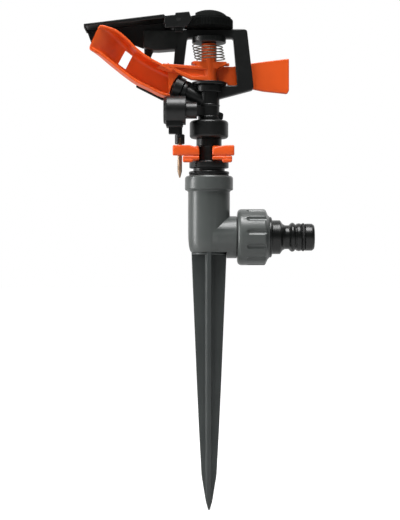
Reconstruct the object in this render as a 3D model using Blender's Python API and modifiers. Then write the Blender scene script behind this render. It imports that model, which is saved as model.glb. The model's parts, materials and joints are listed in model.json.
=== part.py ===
# Impulse sprinkler on a ground spike, with a side hose inlet.
# Metres, +Z up. The origin is on the spike's axis at the soil line.
# The hose inlet points along +X, the jet leaves along -X, and -Y is the side the spoon opens to.

import math

import bmesh
import bpy
import numpy as np
from mathutils import Matrix, Vector

MM = 0.001
GAP = 0.3 * MM          # between pieces that touch
RUN = 0.6 * MM          # between pieces that move past each other

# Spike
SPIKE_DEPTH = 151.0 * MM       # soil line down to the point
SPIKE_SHOULDER = 3.4 * MM      # soil line up to the flat under the tee
SPIKE_TOP_WIDTH = 21.1 * MM
SPIKE_MIDDLE_WIDTH = 14.8 * MM
SPIKE_MIDDLE_Z = -73.1 * MM
SPIKE_LOW_WIDTH = 9.1 * MM
SPIKE_LOW_Z = -130.0 * MM
SPIKE_TIP_WIDTH = 2.0 * MM
SPIKE_FIN = 2.8 * MM
SPIGOT_RADIUS = 7.0 * MM
SPIGOT_HEIGHT = 2.0 * MM

# Tee
TEE_RADIUS = 12.55 * MM
TEE_FOOT_RADIUS = 10.5 * MM
TEE_TAPER = 11.1 * MM
TEE_HEIGHT = 45.5 * MM
COLLAR_RADIUS = 14.45 * MM
COLLAR_HEIGHT = 8.6 * MM
TEE_WALL = 3.0 * MM
BRANCH_Z = 12.7 * MM
BRANCH_RADIUS = 12.65 * MM
BRANCH_REACH = 16.6 * MM
BRANCH_BORE = 5.0 * MM
BRANCH_NECK = 8.0 * MM
BRANCH_BEAD = 9.0 * MM
BRANCH_TIP = 7.6 * MM          # how far the neck goes on inside the nut

# Hose inlet
NUT_RADIUS = 16.8 * MM
NUT_LENGTH = 19.1 * MM
NUT_WALL = 3.2 * MM
NUT_CAVITY = 10.8 * MM
NUT_FLUTES = 12
FLUTE_RADIUS = 1.9 * MM
WASHER_THICK = 2.2 * MM
NIPPLE_THREAD = 10.4 * MM
NIPPLE_FLANGE = 12.2 * MM
NIPPLE_FLANGE_THICK = 1.2 * MM
NIPPLE_BODY = 10.15 * MM
NIPPLE_BODY_LENGTH = 5.0 * MM
NIPPLE_NECK = 7.15 * MM
NIPPLE_LENGTH = 26.7 * MM      # flange face to tip
NIPPLE_LAND = 8.1 * MM
NIPPLE_RING = 8.7 * MM
NIPPLE_BORE = 5.2 * MM
O_RING_WIRE = 2.0 * MM
O_RING_PROUD = 0.35 * MM

# Bearing
THREAD_RADIUS = 10.2 * MM      # of the sleeve in the tee
THREAD_LENGTH = 9.0 * MM
GASKET_RADIUS = 11.9 * MM
GASKET_THICK = 0.8 * MM
LOWER_FLANGE = 12.1 * MM
LOWER_FLANGE_THICK = 1.4 * MM
GROOVE_RADIUS = 9.45 * MM
GROOVE_HEIGHT = 2.1 * MM
UPPER_FLANGE = 11.8 * MM
UPPER_FLANGE_THICK = 3.8 * MM
NECK_RADIUS = 7.6 * MM
NECK_HEIGHT = 13.7 * MM
STUB_RADIUS = 6.5 * MM
STUB_HEIGHT = 6.2 * MM
HOOD_RADIUS = 11.6 * MM
HOOD_HEIGHT = 10.6 * MM
TUBE_RADIUS = 4.3 * MM         # of the turning pivot tube
TUBE_BORE = 3.2 * MM
TUBE_FLANGE = 7.2 * MM
TUBE_FLANGE_THICK = 2.2 * MM
SEAL_THICK = 2.2 * MM
BEARING_SPRING_WIRE = 0.8 * MM
BEARING_SPRING_TURNS = 5
SPRING_POCKET = 11.6 * MM      # depth in the neck

# Trip clips
CLIP_BAND = 2.0 * MM
LOWER_CLIP_HEIGHT = 2.4 * MM
UPPER_CLIP_HEIGHT = 6.0 * MM
CLIP_GAP_LEFT = 5.8 * MM
CLIP_GAP_RIGHT = 1.9 * MM
EAR_THICK = 2.2 * MM
UPPER_EAR_LEFT = 21.6 * MM
UPPER_EAR_RIGHT = 14.9 * MM
LOWER_EAR_LEFT = 15.6 * MM
LOWER_EAR_RIGHT = 13.6 * MM
LOWER_EAR_DROP = 1.6 * MM

# Head
HEAD_TUBE_RADIUS = 6.3 * MM
HEAD_TUBE_DIP = 2.3 * MM       # how far the tube reaches into the hood
FRAME_DEPTH = 6.4 * MM
FRAME_HALF_FOOT = 26.6 * MM
LEFT_FOOT = 22.2 * MM          # left upright's outer edge at its foot
BRIDGE_HALF_TOP = 14.4 * MM    # half the window's width at its top
BAR_TOP_RISE = 20.9 * MM       # lower bar's top above the hood's top
BAR_END_DEPTH = 2.6 * MM
WINDOW_HEIGHT = 28.3 * MM
TOP_BAR_HEIGHT = 5.5 * MM
UPRIGHT_WIDTH = 6.2 * MM
SEAT_BOSS_RADIUS = 10.2 * MM
SEAT_BOSS_HEIGHT = 2.7 * MM
NOZZLE_RISE = 10.5 * MM        # jet axis above the hood's top, on the riser's axis
NOZZLE_ANGLE = 25.0
NOZZLE_LENGTH = 23.3 * MM
NOZZLE_RADIUS = 5.1 * MM
MOUTH_RADIUS = 7.4 * MM        # flange round the barrel's mouth
NOZZLE_WATERWAY = 3.2 * MM
NOZZLE_SOCKET = 3.9 * MM
NOZZLE_SOCKET_DEPTH = 10.5 * MM
NOZZLE_OUTLET = 1.9 * MM
RING_RADIUS = 6.4 * MM
RING_LENGTH = 2.6 * MM
RING_SEAT = 15.2 * MM          # ring's near face from the riser's axis, along the jet
VANE_LENGTH = 6.0 * MM
VANE_THICK = 0.9 * MM

# Arm
PIN_RADIUS = 1.6 * MM
DISC_RADIUS = 10.5 * MM
DISC_THICK = 1.8 * MM
HUB_RADIUS = 4.6 * MM
SEAT_RADIUS = 10.8 * MM
SEAT_THICK = 2.4 * MM
SEAT_RISE = 9.7 * MM           # thrust disc's top to the seat's underside
ARM_YAW = 8.0
BEAM_FRONT = 4.5 * MM
BEAM_BACK = 1.5 * MM
FLANGE_THICK = 2.0 * MM
WEB_THICK = 1.5 * MM
PADDLE_NEAR = 1.35 * MM
PADDLE_THICK = 3.0 * MM
PADDLE_REACH = 48.2 * MM
SPOON_BACK = 7.6 * MM
SPOON_FLOOR = 1.8 * MM
ELBOW_X = 19.4 * MM            # where the beam's lower edge turns up into the spoon
ELBOW_RISE = 4.6 * MM
ARM_SPRING_RADIUS = 8.9 * MM
ARM_SPRING_WIRE = 0.7 * MM
ARM_SPRING_TURNS = 5

# Knob
KNOB_RADIUS = 14.4 * MM
KNOB_SKIRT = 5.2 * MM
KNOB_HEIGHT = 11.3 * MM
KNOB_SOCKET = 5.0 * MM         # how deep the pin goes in
KNOB_CAP = 11.9 * MM
KNOB_FLAT = 8.2 * MM
KNOB_FLAT_RISE = 6.6 * MM

# Range deflector
HINGE_BACK = 18.0 * MM         # hinge to the riser's axis
HINGE_RISE = 3.6 * MM          # hinge above the top bar
HINGE_PIN = 1.2 * MM
LUG_RADIUS = 2.4 * MM
LUG_WIDTH = 10.0 * MM
EAR_INSIDE = 12.9 * MM
EAR_WIDTH = 1.6 * MM
ROOF_HALF = 9.0 * MM
ROOF_THICK = 1.4 * MM
ROOF_TIP = 75.0 * MM
ROOF_NECK = 3.2 * MM           # roof's near end, from the hinge
ROOF_NECK_RISE = 6.6 * MM
ROOF_KNEE = 10.0 * MM          # where the roof turns down
ROOF_KNEE_RISE = 6.0 * MM
CHEEK_THICK = 1.5 * MM
CHEEK_INSIDE = 7.3 * MM

# Splash guard
GUARD_REACH = 39.2 * MM
GUARD_BACK = 6.7 * MM
GUARD_PLATE = 1.8 * MM

# Trip lever
TRIP_AHEAD = 10.0 * MM         # trip axis in front of the riser's axis
TRIP_RISE = 5.1 * MM           # trip axis above the hood's top
BOSS_RADIUS = 4.9 * MM
BOSS_OUT = 13.8 * MM
BOSS_IN = 7.2 * MM
DRUM_RADIUS = 8.6 * MM
DRUM_LENGTH = 12.9 * MM
DRUM_POCKET = 6.6 * MM
DRUM_POCKET_DEPTH = 6.5 * MM
TRIP_SHAFT = 1.2 * MM
STEM_X = 17.4 * MM
STEM_RADIUS = 1.5 * MM
STEM_DROP = 14.2 * MM          # trip axis to the barrel's top
BARREL_RADIUS = 2.9 * MM
BARREL_LENGTH = 5.8 * MM
TRIP_PIN_RADIUS = 1.35 * MM
TRIP_PIN_LENGTH = 20.0 * MM    # barrel's foot to the point
TRIP_SPRING_RADIUS = 4.6 * MM
TRIP_SPRING_WIRE = 0.7 * MM
TRIP_SPRING_TURNS = 2

ROUND = 32                     # steps round a turned piece that shows
SMALL_ROUND = 20
CURL_POINTS = 10

# Levels worked out from the sizes above
TEE_FOOT = SPIKE_SHOULDER + GAP
TEE_TOP = TEE_FOOT + TEE_HEIGHT
GASKET_Z = TEE_TOP + GAP
SLEEVE_Z = GASKET_Z + GASKET_THICK + GAP
GROOVE_Z = SLEEVE_Z + LOWER_FLANGE_THICK
UPPER_FLANGE_Z = GROOVE_Z + GROOVE_HEIGHT
NECK_Z = UPPER_FLANGE_Z + UPPER_FLANGE_THICK
HOOD_Z = NECK_Z + NECK_HEIGHT + GAP
HOOD_TOP = HOOD_Z + HOOD_HEIGHT
SLEEVE_FOOT = SLEEVE_Z - THREAD_LENGTH
HEAD_FOOT = HOOD_TOP - HEAD_TUBE_DIP
NOZZLE_Z = HOOD_TOP + NOZZLE_RISE
BAR_TOP = HOOD_TOP + BAR_TOP_RISE
DISC_Z = BAR_TOP + GAP
DISC_TOP = DISC_Z + DISC_THICK
HUB_Z = DISC_TOP + GAP
SEAT_Z = DISC_TOP + SEAT_RISE
SEAT_TOP = SEAT_Z + SEAT_THICK
WINDOW_TOP = BAR_TOP + WINDOW_HEIGHT
SEAT_BOSS_Z = WINDOW_TOP - SEAT_BOSS_HEIGHT
FRAME_TOP = WINDOW_TOP + TOP_BAR_HEIGHT
KNOB_Z = FRAME_TOP + GAP
HINGE_Z = FRAME_TOP + HINGE_RISE
TRIP_Z = HOOD_TOP + TRIP_RISE
BRANCH_END = BRANCH_REACH + BRANCH_TIP
NUT_X = BRANCH_REACH + GAP
NUT_END = NUT_X + NUT_LENGTH
FLANGE_X = NUT_END + GAP
DRUM_RIGHT = -(BOSS_OUT + GAP)
DRUM_LEFT = DRUM_RIGHT - DRUM_LENGTH


def clear_scene():
    for thing in list(bpy.data.objects):
        bpy.data.objects.remove(thing, do_unlink=True)


def new_collection(name):
    made = bpy.data.collections.new(name)
    bpy.context.scene.collection.children.link(made)
    return made


clear_scene()
PARTS = new_collection("impulse_sprinkler")
CUTTERS = new_collection("cutters")


def plastic(name, colour, roughness=0.4, metallic=0.0):
    made = bpy.data.materials.new(name)
    made.use_nodes = True
    shader = made.node_tree.nodes["Principled BSDF"]
    shader.inputs["Base Color"].default_value = (*colour, 1.0)
    shader.inputs["Roughness"].default_value = roughness
    shader.inputs["Metallic"].default_value = metallic
    made.diffuse_color = (*colour, 1.0)
    return made


BLACK = (0.012, 0.013, 0.013)
ORANGE = (0.73, 0.095, 0.018)
GREY = (0.062, 0.07, 0.066)
STEEL = (0.55, 0.55, 0.53)
BRASS = (0.42, 0.26, 0.12)
RUBBER = (0.01, 0.01, 0.01)


def finish(thing, colour, roughness=0.4, metallic=0.0):
    """Gives a piece its own material."""
    thing.data.materials.append(plastic(thing.name, colour, roughness, metallic))
    return thing


def add(name, mesh, collection=None):
    made = bpy.data.objects.new(name, mesh)
    (collection or PARTS).objects.link(made)
    return made


def as_cutter(thing):
    """Makes a shape a tool that cuts or joins, and is left out of the part."""
    for home in list(thing.users_collection):
        home.objects.unlink(thing)
    CUTTERS.objects.link(thing)
    thing.hide_render = True
    thing.display_type = "WIRE"
    return thing


def boolean(thing, tool, operation):
    as_cutter(tool)
    made = thing.modifiers.new(tool.name, "BOOLEAN")
    made.operation = operation
    made.solver = "EXACT"
    made.object = tool


def cut(thing, *tools):
    for tool in tools:
        boolean(thing, tool, "DIFFERENCE")
    return thing


def join(thing, *tools):
    for tool in tools:
        boolean(thing, tool, "UNION")
    return thing


def turned(name, outline, steps=ROUND, closed=False):
    """A profile of (radius, height), run down its outer side, turned about Z."""
    mesh = bpy.data.meshes.new(name)
    points = [(r, 0.0, z) for r, z in outline]
    edges = [(i, i + 1) for i in range(len(points) - 1)]
    if closed:
        edges.append((len(points) - 1, 0))
    mesh.from_pydata(points, edges, [])
    made = add(name, mesh)
    screw = made.modifiers.new("turn", "SCREW")
    screw.axis = "Z"
    screw.angle = math.tau
    screw.steps = steps
    screw.render_steps = steps
    screw.use_merge_vertices = True
    screw.merge_threshold = 0.00001
    screw.use_smooth_shade = True
    return made


def rod(name, radius, low, high, steps=SMALL_ROUND):
    """A plain cylinder about Z."""
    work = bmesh.new()
    middle = Matrix.Translation((0.0, 0.0, (low + high) / 2))
    bmesh.ops.create_cone(work, cap_ends=True, segments=steps, radius1=radius, radius2=radius,
                          depth=high - low, matrix=middle)
    mesh = bpy.data.meshes.new(name)
    work.to_mesh(mesh)
    work.free()
    mesh.shade_smooth()
    mesh.set_sharp_from_angle(angle=math.radians(35.0))
    return add(name, mesh)


def ring(name, inner, outer, low, high, steps=SMALL_ROUND):
    outline = [(inner, high), (outer, high), (outer, low), (inner, low)]
    return turned(name, outline, steps, closed=True)


def lay_along_x(thing, x=0.0, y=0.0, z=0.0):
    """Turns a piece's +Z to +X and moves it there."""
    thing.rotation_euler = (0.0, math.pi / 2, 0.0)
    thing.location = (x, y, z)
    return thing


def lay_along_y(thing, x=0.0, y=0.0, z=0.0):
    """Turns a piece's +Z to +Y and moves it there."""
    thing.rotation_euler = (-math.pi / 2, 0.0, 0.0)
    thing.location = (x, y, z)
    return thing


def box(name, low, high):
    """A block between two corners."""
    work = bmesh.new()
    size = Vector(high) - Vector(low)
    middle = (Vector(high) + Vector(low)) / 2
    place = Matrix.Translation(middle) @ Matrix.Diagonal((*size, 1.0))
    bmesh.ops.create_cube(work, size=1.0, matrix=place)
    mesh = bpy.data.meshes.new(name)
    work.to_mesh(mesh)
    work.free()
    return add(name, mesh)


def slab(name, outlines, near, far, upright=True):
    """A flat outline, with any holes after it, made solid from near to far.

    Upright outlines are in X and Z and run from Y = near to Y = far. Flat ones are in X and Y.
    """
    curve = bpy.data.curves.new(name, "CURVE")
    curve.dimensions = "2D"
    curve.fill_mode = "BOTH"
    curve.extrude = (far - near) / 2
    for outline in outlines:
        line = curve.splines.new("POLY")
        line.points.add(len(outline) - 1)
        for point, (u, v) in zip(line.points, outline):
            point.co = (u, v, 0.0, 1.0)
        line.use_cyclic_u = True
    guide = bpy.data.objects.new(name, curve)
    CUTTERS.objects.link(guide)
    if upright:
        guide.rotation_euler = (math.pi / 2, 0.0, 0.0)
        guide.location = (0.0, (near + far) / 2, 0.0)
    else:
        guide.location = (0.0, 0.0, (near + far) / 2)
    bpy.context.view_layer.update()
    seen = guide.evaluated_get(bpy.context.evaluated_depsgraph_get())
    mesh = bpy.data.meshes.new_from_object(seen)
    mesh.transform(guide.matrix_world)
    bpy.data.objects.remove(guide)
    work = bmesh.new()
    work.from_mesh(mesh)
    bmesh.ops.remove_doubles(work, verts=work.verts, dist=0.000001)
    bmesh.ops.recalc_face_normals(work, faces=work.faces)
    work.to_mesh(mesh)
    work.free()
    mesh.name = name
    return add(name, mesh)


def arc(middle, radius, start, end, steps):
    """Points on an arc, from one angle to another in degrees."""
    angles = np.radians(np.linspace(start, end, steps + 1))
    return [(middle[0] + radius * math.cos(a), middle[1] + radius * math.sin(a)) for a in angles]


def spring(name, radius, wire, low, high, turns, colour=STEEL, lead=0.0):
    """A coil spring about Z. Its ends turn straight up and down for one wire's thickness."""
    foot = low + 1.6 * wire
    head = high - 1.6 * wire
    count = turns * CURL_POINTS
    points = []
    for i in range(count + 1):
        angle = math.radians(lead) + math.tau * i / CURL_POINTS
        height = foot + (head - foot) * i / count
        points.append(Vector((radius * math.cos(angle), radius * math.sin(angle), height)))
    start_way = (points[0] - points[1]).normalized()
    end_way = (points[-1] - points[-2]).normalized()
    down = Vector((0.0, 0.0, -1.0))
    bend_start = points[0] + (start_way + down) * wire * 0.6
    bend_end = points[-1] + (end_way - down) * wire * 0.6
    foot_end = Vector((bend_start.x, bend_start.y, low))
    head_end = Vector((bend_end.x, bend_end.y, high))
    points = [foot_end, bend_start] + points + [bend_end, head_end]
    curve = bpy.data.curves.new(name, "CURVE")
    curve.dimensions = "3D"
    curve.bevel_depth = wire / 2
    curve.bevel_resolution = 1
    curve.use_fill_caps = True
    line = curve.splines.new("POLY")
    line.points.add(len(points) - 1)
    for point, place in zip(line.points, points):
        point.co = (*place, 1.0)
    made = bpy.data.objects.new(name, curve)
    PARTS.objects.link(made)
    print(name, "least gap to itself, mm:", round(self_gap(points, wire) / MM, 3))
    return finish(made, colour, 0.25, 1.0)


def self_gap(points, wire):
    """The least clear space between runs of the wire that aren't next to each other."""
    fine = []
    for a, b in zip(points, points[1:]):
        fine += [a.lerp(b, t) for t in (0.0, 0.25, 0.5, 0.75)]
    places = np.array(fine)
    along = np.cumsum([0.0] + [float(np.linalg.norm(b - a)) for a, b in zip(places, places[1:])])
    apart = np.linalg.norm(places[:, None] - places[None], axis=2)
    far = np.abs(along[:, None] - along[None]) > 8 * wire
    return float(apart[far].min()) - wire


def empty(name, place, turn=(0.0, 0.0, 0.0)):
    """An axis that a moving piece hangs on."""
    made = bpy.data.objects.new(name, None)
    made.location = place
    made.rotation_euler = turn
    PARTS.objects.link(made)
    return made


def hang(thing, parent):
    thing.parent = parent
    return thing


def spike_half_width(z):
    """Half the width of the spike's fins at a height."""
    levels = [-SPIKE_DEPTH, SPIKE_LOW_Z, SPIKE_MIDDLE_Z, SPIKE_SHOULDER]
    widths = [SPIKE_TIP_WIDTH, SPIKE_LOW_WIDTH, SPIKE_MIDDLE_WIDTH, SPIKE_TOP_WIDTH]
    return float(np.interp(z, levels, widths)) / 2


def spike_fin(name):
    """Two opposite fins of the spike, as one tapered blade."""
    levels = [SPIKE_SHOULDER, SPIKE_MIDDLE_Z, SPIKE_LOW_Z, -SPIKE_DEPTH + SPIKE_TIP_WIDTH]
    right = [(spike_half_width(z), z) for z in levels]
    left = [(-x, z) for x, z in reversed(right)]
    point = [(SPIKE_TIP_WIDTH / 4, -SPIKE_DEPTH), (-SPIKE_TIP_WIDTH / 4, -SPIKE_DEPTH)]
    return slab(name, [right + point + left], -SPIKE_FIN / 2, SPIKE_FIN / 2)


def make_spike():
    made = spike_fin("spike")
    other = spike_fin("spike_cross_fins")
    other.rotation_euler = (0.0, 0.0, math.pi / 2)
    core_top = SPIKE_SHOULDER - 0.2 * MM
    core = turned("spike_core", [
        (0.0, core_top),
        (SPIKE_FIN * 0.95, core_top),
        (SPIKE_FIN * 0.62, SPIKE_LOW_Z),
        (SPIKE_TIP_WIDTH * 0.3, -SPIKE_DEPTH + SPIKE_TIP_WIDTH),
        (0.0, -SPIKE_DEPTH + SPIKE_TIP_WIDTH),
    ], 12)
    disc_radius = SPIKE_TOP_WIDTH / 2 - 0.3 * MM
    head = turned("spike_head", [
        (0.0, SPIKE_SHOULDER + SPIGOT_HEIGHT),
        (SPIGOT_RADIUS, SPIKE_SHOULDER + SPIGOT_HEIGHT),
        (SPIGOT_RADIUS, SPIKE_SHOULDER - 0.05 * MM),
        (disc_radius, SPIKE_SHOULDER - 0.05 * MM),
        (disc_radius, SPIKE_SHOULDER - 1.2 * MM),
        (0.0, SPIKE_SHOULDER - 1.2 * MM),
    ], ROUND)
    join(made, other, core, head)
    return finish(made, (0.028, 0.034, 0.032), 0.5)


def make_tee():
    collar_foot = TEE_TOP - COLLAR_HEIGHT
    edge = 0.9 * MM
    outline = [
        (0.0, TEE_TOP),
        (COLLAR_RADIUS - edge, TEE_TOP),
        (COLLAR_RADIUS - edge * 0.3, TEE_TOP - edge * 0.3),
        (COLLAR_RADIUS, TEE_TOP - edge),
        (COLLAR_RADIUS, collar_foot + edge),
        (COLLAR_RADIUS - edge * 0.4, collar_foot + edge * 0.3),
        (TEE_RADIUS + edge * 0.4, collar_foot),
        (TEE_RADIUS, collar_foot - edge * 0.6),
        (TEE_RADIUS, TEE_FOOT + TEE_TAPER),
        (TEE_FOOT_RADIUS, TEE_FOOT),
        (0.0, TEE_FOOT),
    ]
    made = turned("tee_body", outline)
    branch = lay_along_x(rod("tee_branch", BRANCH_RADIUS, 2 * MM, BRANCH_REACH, ROUND), z=BRANCH_Z)
    bead = BRANCH_BEAD - BRANCH_NECK
    bead_x = NUT_X + NUT_WALL + RUN
    neck = lay_along_x(turned("tee_branch_neck", [
        (0.0, BRANCH_END),
        (BRANCH_NECK, BRANCH_END),
        (BRANCH_BEAD, BRANCH_END - bead * 1.5),
        (BRANCH_BEAD, bead_x),
        (BRANCH_NECK, bead_x),
        (BRANCH_NECK, BRANCH_REACH - 1 * MM),
        (0.0, BRANCH_REACH - 1 * MM),
    ], SMALL_ROUND), z=BRANCH_Z)
    reach = SPIKE_TOP_WIDTH / 2 + GAP
    foot_room = box("tee_foot_room", (-20 * MM, -20 * MM, -20 * MM), (reach, 20 * MM, TEE_FOOT))
    waterway = TEE_RADIUS - TEE_WALL
    floor = BRANCH_Z - BRANCH_BORE - 0.4 * MM
    shoulder = SLEEVE_FOOT - 1.5 * MM
    riser = turned("tee_riser_bore", [
        (0.0, TEE_TOP + 1 * MM),
        (THREAD_RADIUS + GAP, TEE_TOP + 1 * MM),
        (THREAD_RADIUS + GAP, shoulder),
        (waterway, shoulder - 1 * MM),
        (waterway, floor + 4 * MM),
        (waterway - 3 * MM, floor),
        (0.0, floor),
    ], SMALL_ROUND)
    side = lay_along_x(rod("tee_side_bore", BRANCH_BORE, 0.0, BRANCH_END + 1 * MM), z=BRANCH_Z)
    socket = rod("tee_spigot_socket", SPIGOT_RADIUS + GAP, TEE_FOOT - 1 * MM,
                 SPIKE_SHOULDER + SPIGOT_HEIGHT + GAP)
    join(made, branch, neck)
    cut(made, foot_room, riser, side, socket)
    return finish(made, GREY, 0.35)


def make_inlet(axis):
    """The swivel nut, its washer and the hose nipple, which turn together on the branch."""
    edge = 3.2 * MM
    nut = turned("inlet_nut", [
        (NUT_RADIUS - 4.2 * MM, NUT_LENGTH),
        (NUT_RADIUS - 3.6 * MM, NUT_LENGTH - 0.8 * MM),
        (NUT_RADIUS - 0.6 * MM, NUT_LENGTH - 2.2 * MM),
        (NUT_RADIUS, NUT_LENGTH - 2.8 * MM),
        (NUT_RADIUS, edge),
        (NUT_RADIUS - edge * 0.13, edge * 0.5),
        (NUT_RADIUS - edge * 0.5, edge * 0.13),
        (NUT_RADIUS - edge, 0.0),
        (BRANCH_NECK + GAP, 0.0),
        (BRANCH_NECK + GAP, NUT_WALL),
        (NUT_CAVITY, NUT_WALL),
        (NUT_CAVITY, NUT_LENGTH),
    ], 36, closed=True)
    work = bmesh.new()
    start = 5.2 * MM
    for i in range(NUT_FLUTES):
        turn = math.tau * (i + 0.33) / NUT_FLUTES
        way = Matrix.Rotation(turn, 4, "Z")
        place = way @ Matrix.Translation((NUT_RADIUS + FLUTE_RADIUS * 0.45, 0.0, 0.0))
        long = NUT_LENGTH
        middle = Matrix.Translation((0.0, 0.0, start + long / 2))
        bmesh.ops.create_cone(work, cap_ends=True, segments=10, radius1=FLUTE_RADIUS,
                              radius2=FLUTE_RADIUS, depth=long, matrix=place @ middle)
    mesh = bpy.data.meshes.new("nut_flutes")
    work.to_mesh(mesh)
    work.free()
    flutes = add("nut_flutes", mesh)
    hang(flutes, axis)
    lay_along_x(flutes, NUT_X)
    cut(hang(lay_along_x(nut, NUT_X), axis), flutes)
    finish(nut, GREY, 0.3)

    washer_x = BRANCH_END + GAP
    washer = ring("inlet_washer", BRANCH_BORE + 0.6 * MM, NUT_CAVITY - GAP, 0.0, WASHER_THICK)
    hang(lay_along_x(washer, washer_x), axis)
    finish(washer, RUBBER, 0.7)

    thread_x = washer_x + WASHER_THICK + GAP
    body = NIPPLE_FLANGE_THICK + NIPPLE_BODY_LENGTH
    groove = NIPPLE_LENGTH - 5.4 * MM
    slot = groove - O_RING_WIRE - 0.4 * MM
    deep = NIPPLE_LAND + O_RING_PROUD - O_RING_WIRE - GAP
    outline = [
        (NIPPLE_BORE, NIPPLE_LENGTH),
        (NIPPLE_LAND - 1.1 * MM, NIPPLE_LENGTH),
        (NIPPLE_LAND - 0.3 * MM, NIPPLE_LENGTH - 0.5 * MM),
        (NIPPLE_LAND, NIPPLE_LENGTH - 1.6 * MM),
        (NIPPLE_LAND, groove),
        (deep, groove),
        (deep, slot),
        (NIPPLE_LAND, slot),
        (NIPPLE_LAND + 0.2 * MM, slot - 1.4 * MM),
        (NIPPLE_LAND, slot - 2.8 * MM),
        (NIPPLE_LAND - 0.5 * MM, slot - 3.5 * MM),
        (NIPPLE_RING - 0.5 * MM, slot - 4.0 * MM),
        (NIPPLE_RING, slot - 4.8 * MM),
        (NIPPLE_RING, slot - 5.7 * MM),
        (NIPPLE_RING - 0.7 * MM, slot - 6.7 * MM),
        (NIPPLE_NECK, slot - 7.3 * MM),
        (NIPPLE_NECK, body + 2.9 * MM),
        (NIPPLE_NECK + 0.9 * MM, body + 1.5 * MM),
        (NIPPLE_BODY, body),
        (NIPPLE_BODY, NIPPLE_FLANGE_THICK + 0.4 * MM),
        (NIPPLE_FLANGE - 0.5 * MM, NIPPLE_FLANGE_THICK),
        (NIPPLE_FLANGE, NIPPLE_FLANGE_THICK * 0.5),
        (NIPPLE_FLANGE, 0.0),
        (NIPPLE_THREAD, 0.0),
        (NIPPLE_THREAD, thread_x - FLANGE_X),
        (NIPPLE_BORE, thread_x - FLANGE_X),
    ]
    nipple = turned("inlet_nipple", outline, ROUND, closed=True)
    hang(lay_along_x(nipple, FLANGE_X), axis)
    finish(nipple, BLACK, 0.15)

    half = O_RING_WIRE / 2
    centre = NIPPLE_LAND + O_RING_PROUD - half
    section = [(centre + half * math.cos(a), half * math.sin(a))
               for a in np.radians(np.arange(90, -270, -45))]
    o_ring = turned("nipple_o_ring", section, SMALL_ROUND, closed=True)
    hang(lay_along_x(o_ring, FLANGE_X + (groove + slot) / 2), axis)
    finish(o_ring, RUBBER, 0.5)


def make_bearing():
    """The fixed sleeve screwed into the tee, its gasket and the hood that closes it."""
    gasket = ring("base_gasket", THREAD_RADIUS + GAP, GASKET_RADIUS, GASKET_Z, GASKET_Z + GASKET_THICK,
                  ROUND)
    finish(gasket, RUBBER, 0.7)
    bore = TUBE_RADIUS + GAP
    pocket = STUB_RADIUS - 0.9 * MM
    neck_top = NECK_Z + NECK_HEIGHT
    lip = 0.35 * MM
    sleeve = turned("bearing_sleeve", [
        (pocket, neck_top + STUB_HEIGHT),
        (STUB_RADIUS, neck_top + STUB_HEIGHT),
        (STUB_RADIUS, neck_top),
        (NECK_RADIUS, neck_top),
        (NECK_RADIUS, neck_top - 4.2 * MM),
        (NECK_RADIUS + lip, neck_top - 4.5 * MM),
        (NECK_RADIUS + lip, neck_top - 5.0 * MM),
        (NECK_RADIUS, neck_top - 5.3 * MM),
        (NECK_RADIUS, NECK_Z),
        (UPPER_FLANGE - 0.5 * MM, NECK_Z),
        (UPPER_FLANGE, NECK_Z - 0.5 * MM),
        (UPPER_FLANGE, UPPER_FLANGE_Z + 0.4 * MM),
        (UPPER_FLANGE - 0.4 * MM, UPPER_FLANGE_Z),
        (GROOVE_RADIUS, UPPER_FLANGE_Z),
        (GROOVE_RADIUS, GROOVE_Z),
        (LOWER_FLANGE - 0.4 * MM, GROOVE_Z),
        (LOWER_FLANGE, GROOVE_Z - 0.4 * MM),
        (LOWER_FLANGE, SLEEVE_Z),
        (THREAD_RADIUS, SLEEVE_Z),
        (THREAD_RADIUS, SLEEVE_FOOT),
        (bore, SLEEVE_FOOT),
        (bore, HEAD_FOOT - SPRING_POCKET - GAP),
        (pocket, HEAD_FOOT - SPRING_POCKET - GAP),
    ], ROUND, closed=True)
    finish(sleeve, BLACK, 0.35)
    edge = 1.6 * MM
    hole = HEAD_TUBE_RADIUS + GAP
    hood = turned("bearing_hood", [
        (hole, HOOD_TOP),
        (HOOD_RADIUS - edge, HOOD_TOP),
        (HOOD_RADIUS - edge * 0.3, HOOD_TOP - edge * 0.3),
        (HOOD_RADIUS, HOOD_TOP - edge),
        (HOOD_RADIUS, HOOD_Z + edge),
        (HOOD_RADIUS - edge * 0.3, HOOD_Z + edge * 0.3),
        (HOOD_RADIUS - edge, HOOD_Z),
        (STUB_RADIUS + GAP, HOOD_Z),
        (STUB_RADIUS + GAP, HOOD_TOP - 2.0 * MM),
        (hole, HOOD_TOP - 2.0 * MM),
    ], ROUND, closed=True)
    finish(hood, BLACK, 0.3)


def clip_outline(reach_left, reach_right, inner, ear_front, ear_back):
    """A ring open at the front, seen from above, whose ends step forward into the ears."""
    outer = inner + CLIP_BAND
    left_end = math.degrees(math.asin(CLIP_GAP_LEFT / inner))
    right_end = math.degrees(math.asin(CLIP_GAP_RIGHT / inner))
    inside = arc((0.0, 0.0), inner, -90 - left_end, -450 + right_end, 26)
    right_x = CLIP_GAP_RIGHT
    left_x = -CLIP_GAP_LEFT
    web = 1.9 * MM
    right_side = [
        (right_x, ear_front),
        (reach_right, ear_front),
        (reach_right, ear_back),
        (right_x + web, ear_back),
    ]
    start = math.degrees(math.asin((right_x + web) / outer))
    finish_angle = math.degrees(math.asin((-left_x + web) / outer))
    outside = arc((0.0, 0.0), outer, -90 + start, 270 - finish_angle, 26)
    left_side = [
        (left_x - web, ear_back),
        (-reach_left, ear_back),
        (-reach_left, ear_front),
        (left_x, ear_front),
    ]
    return inside + right_side + outside + left_side


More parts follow.
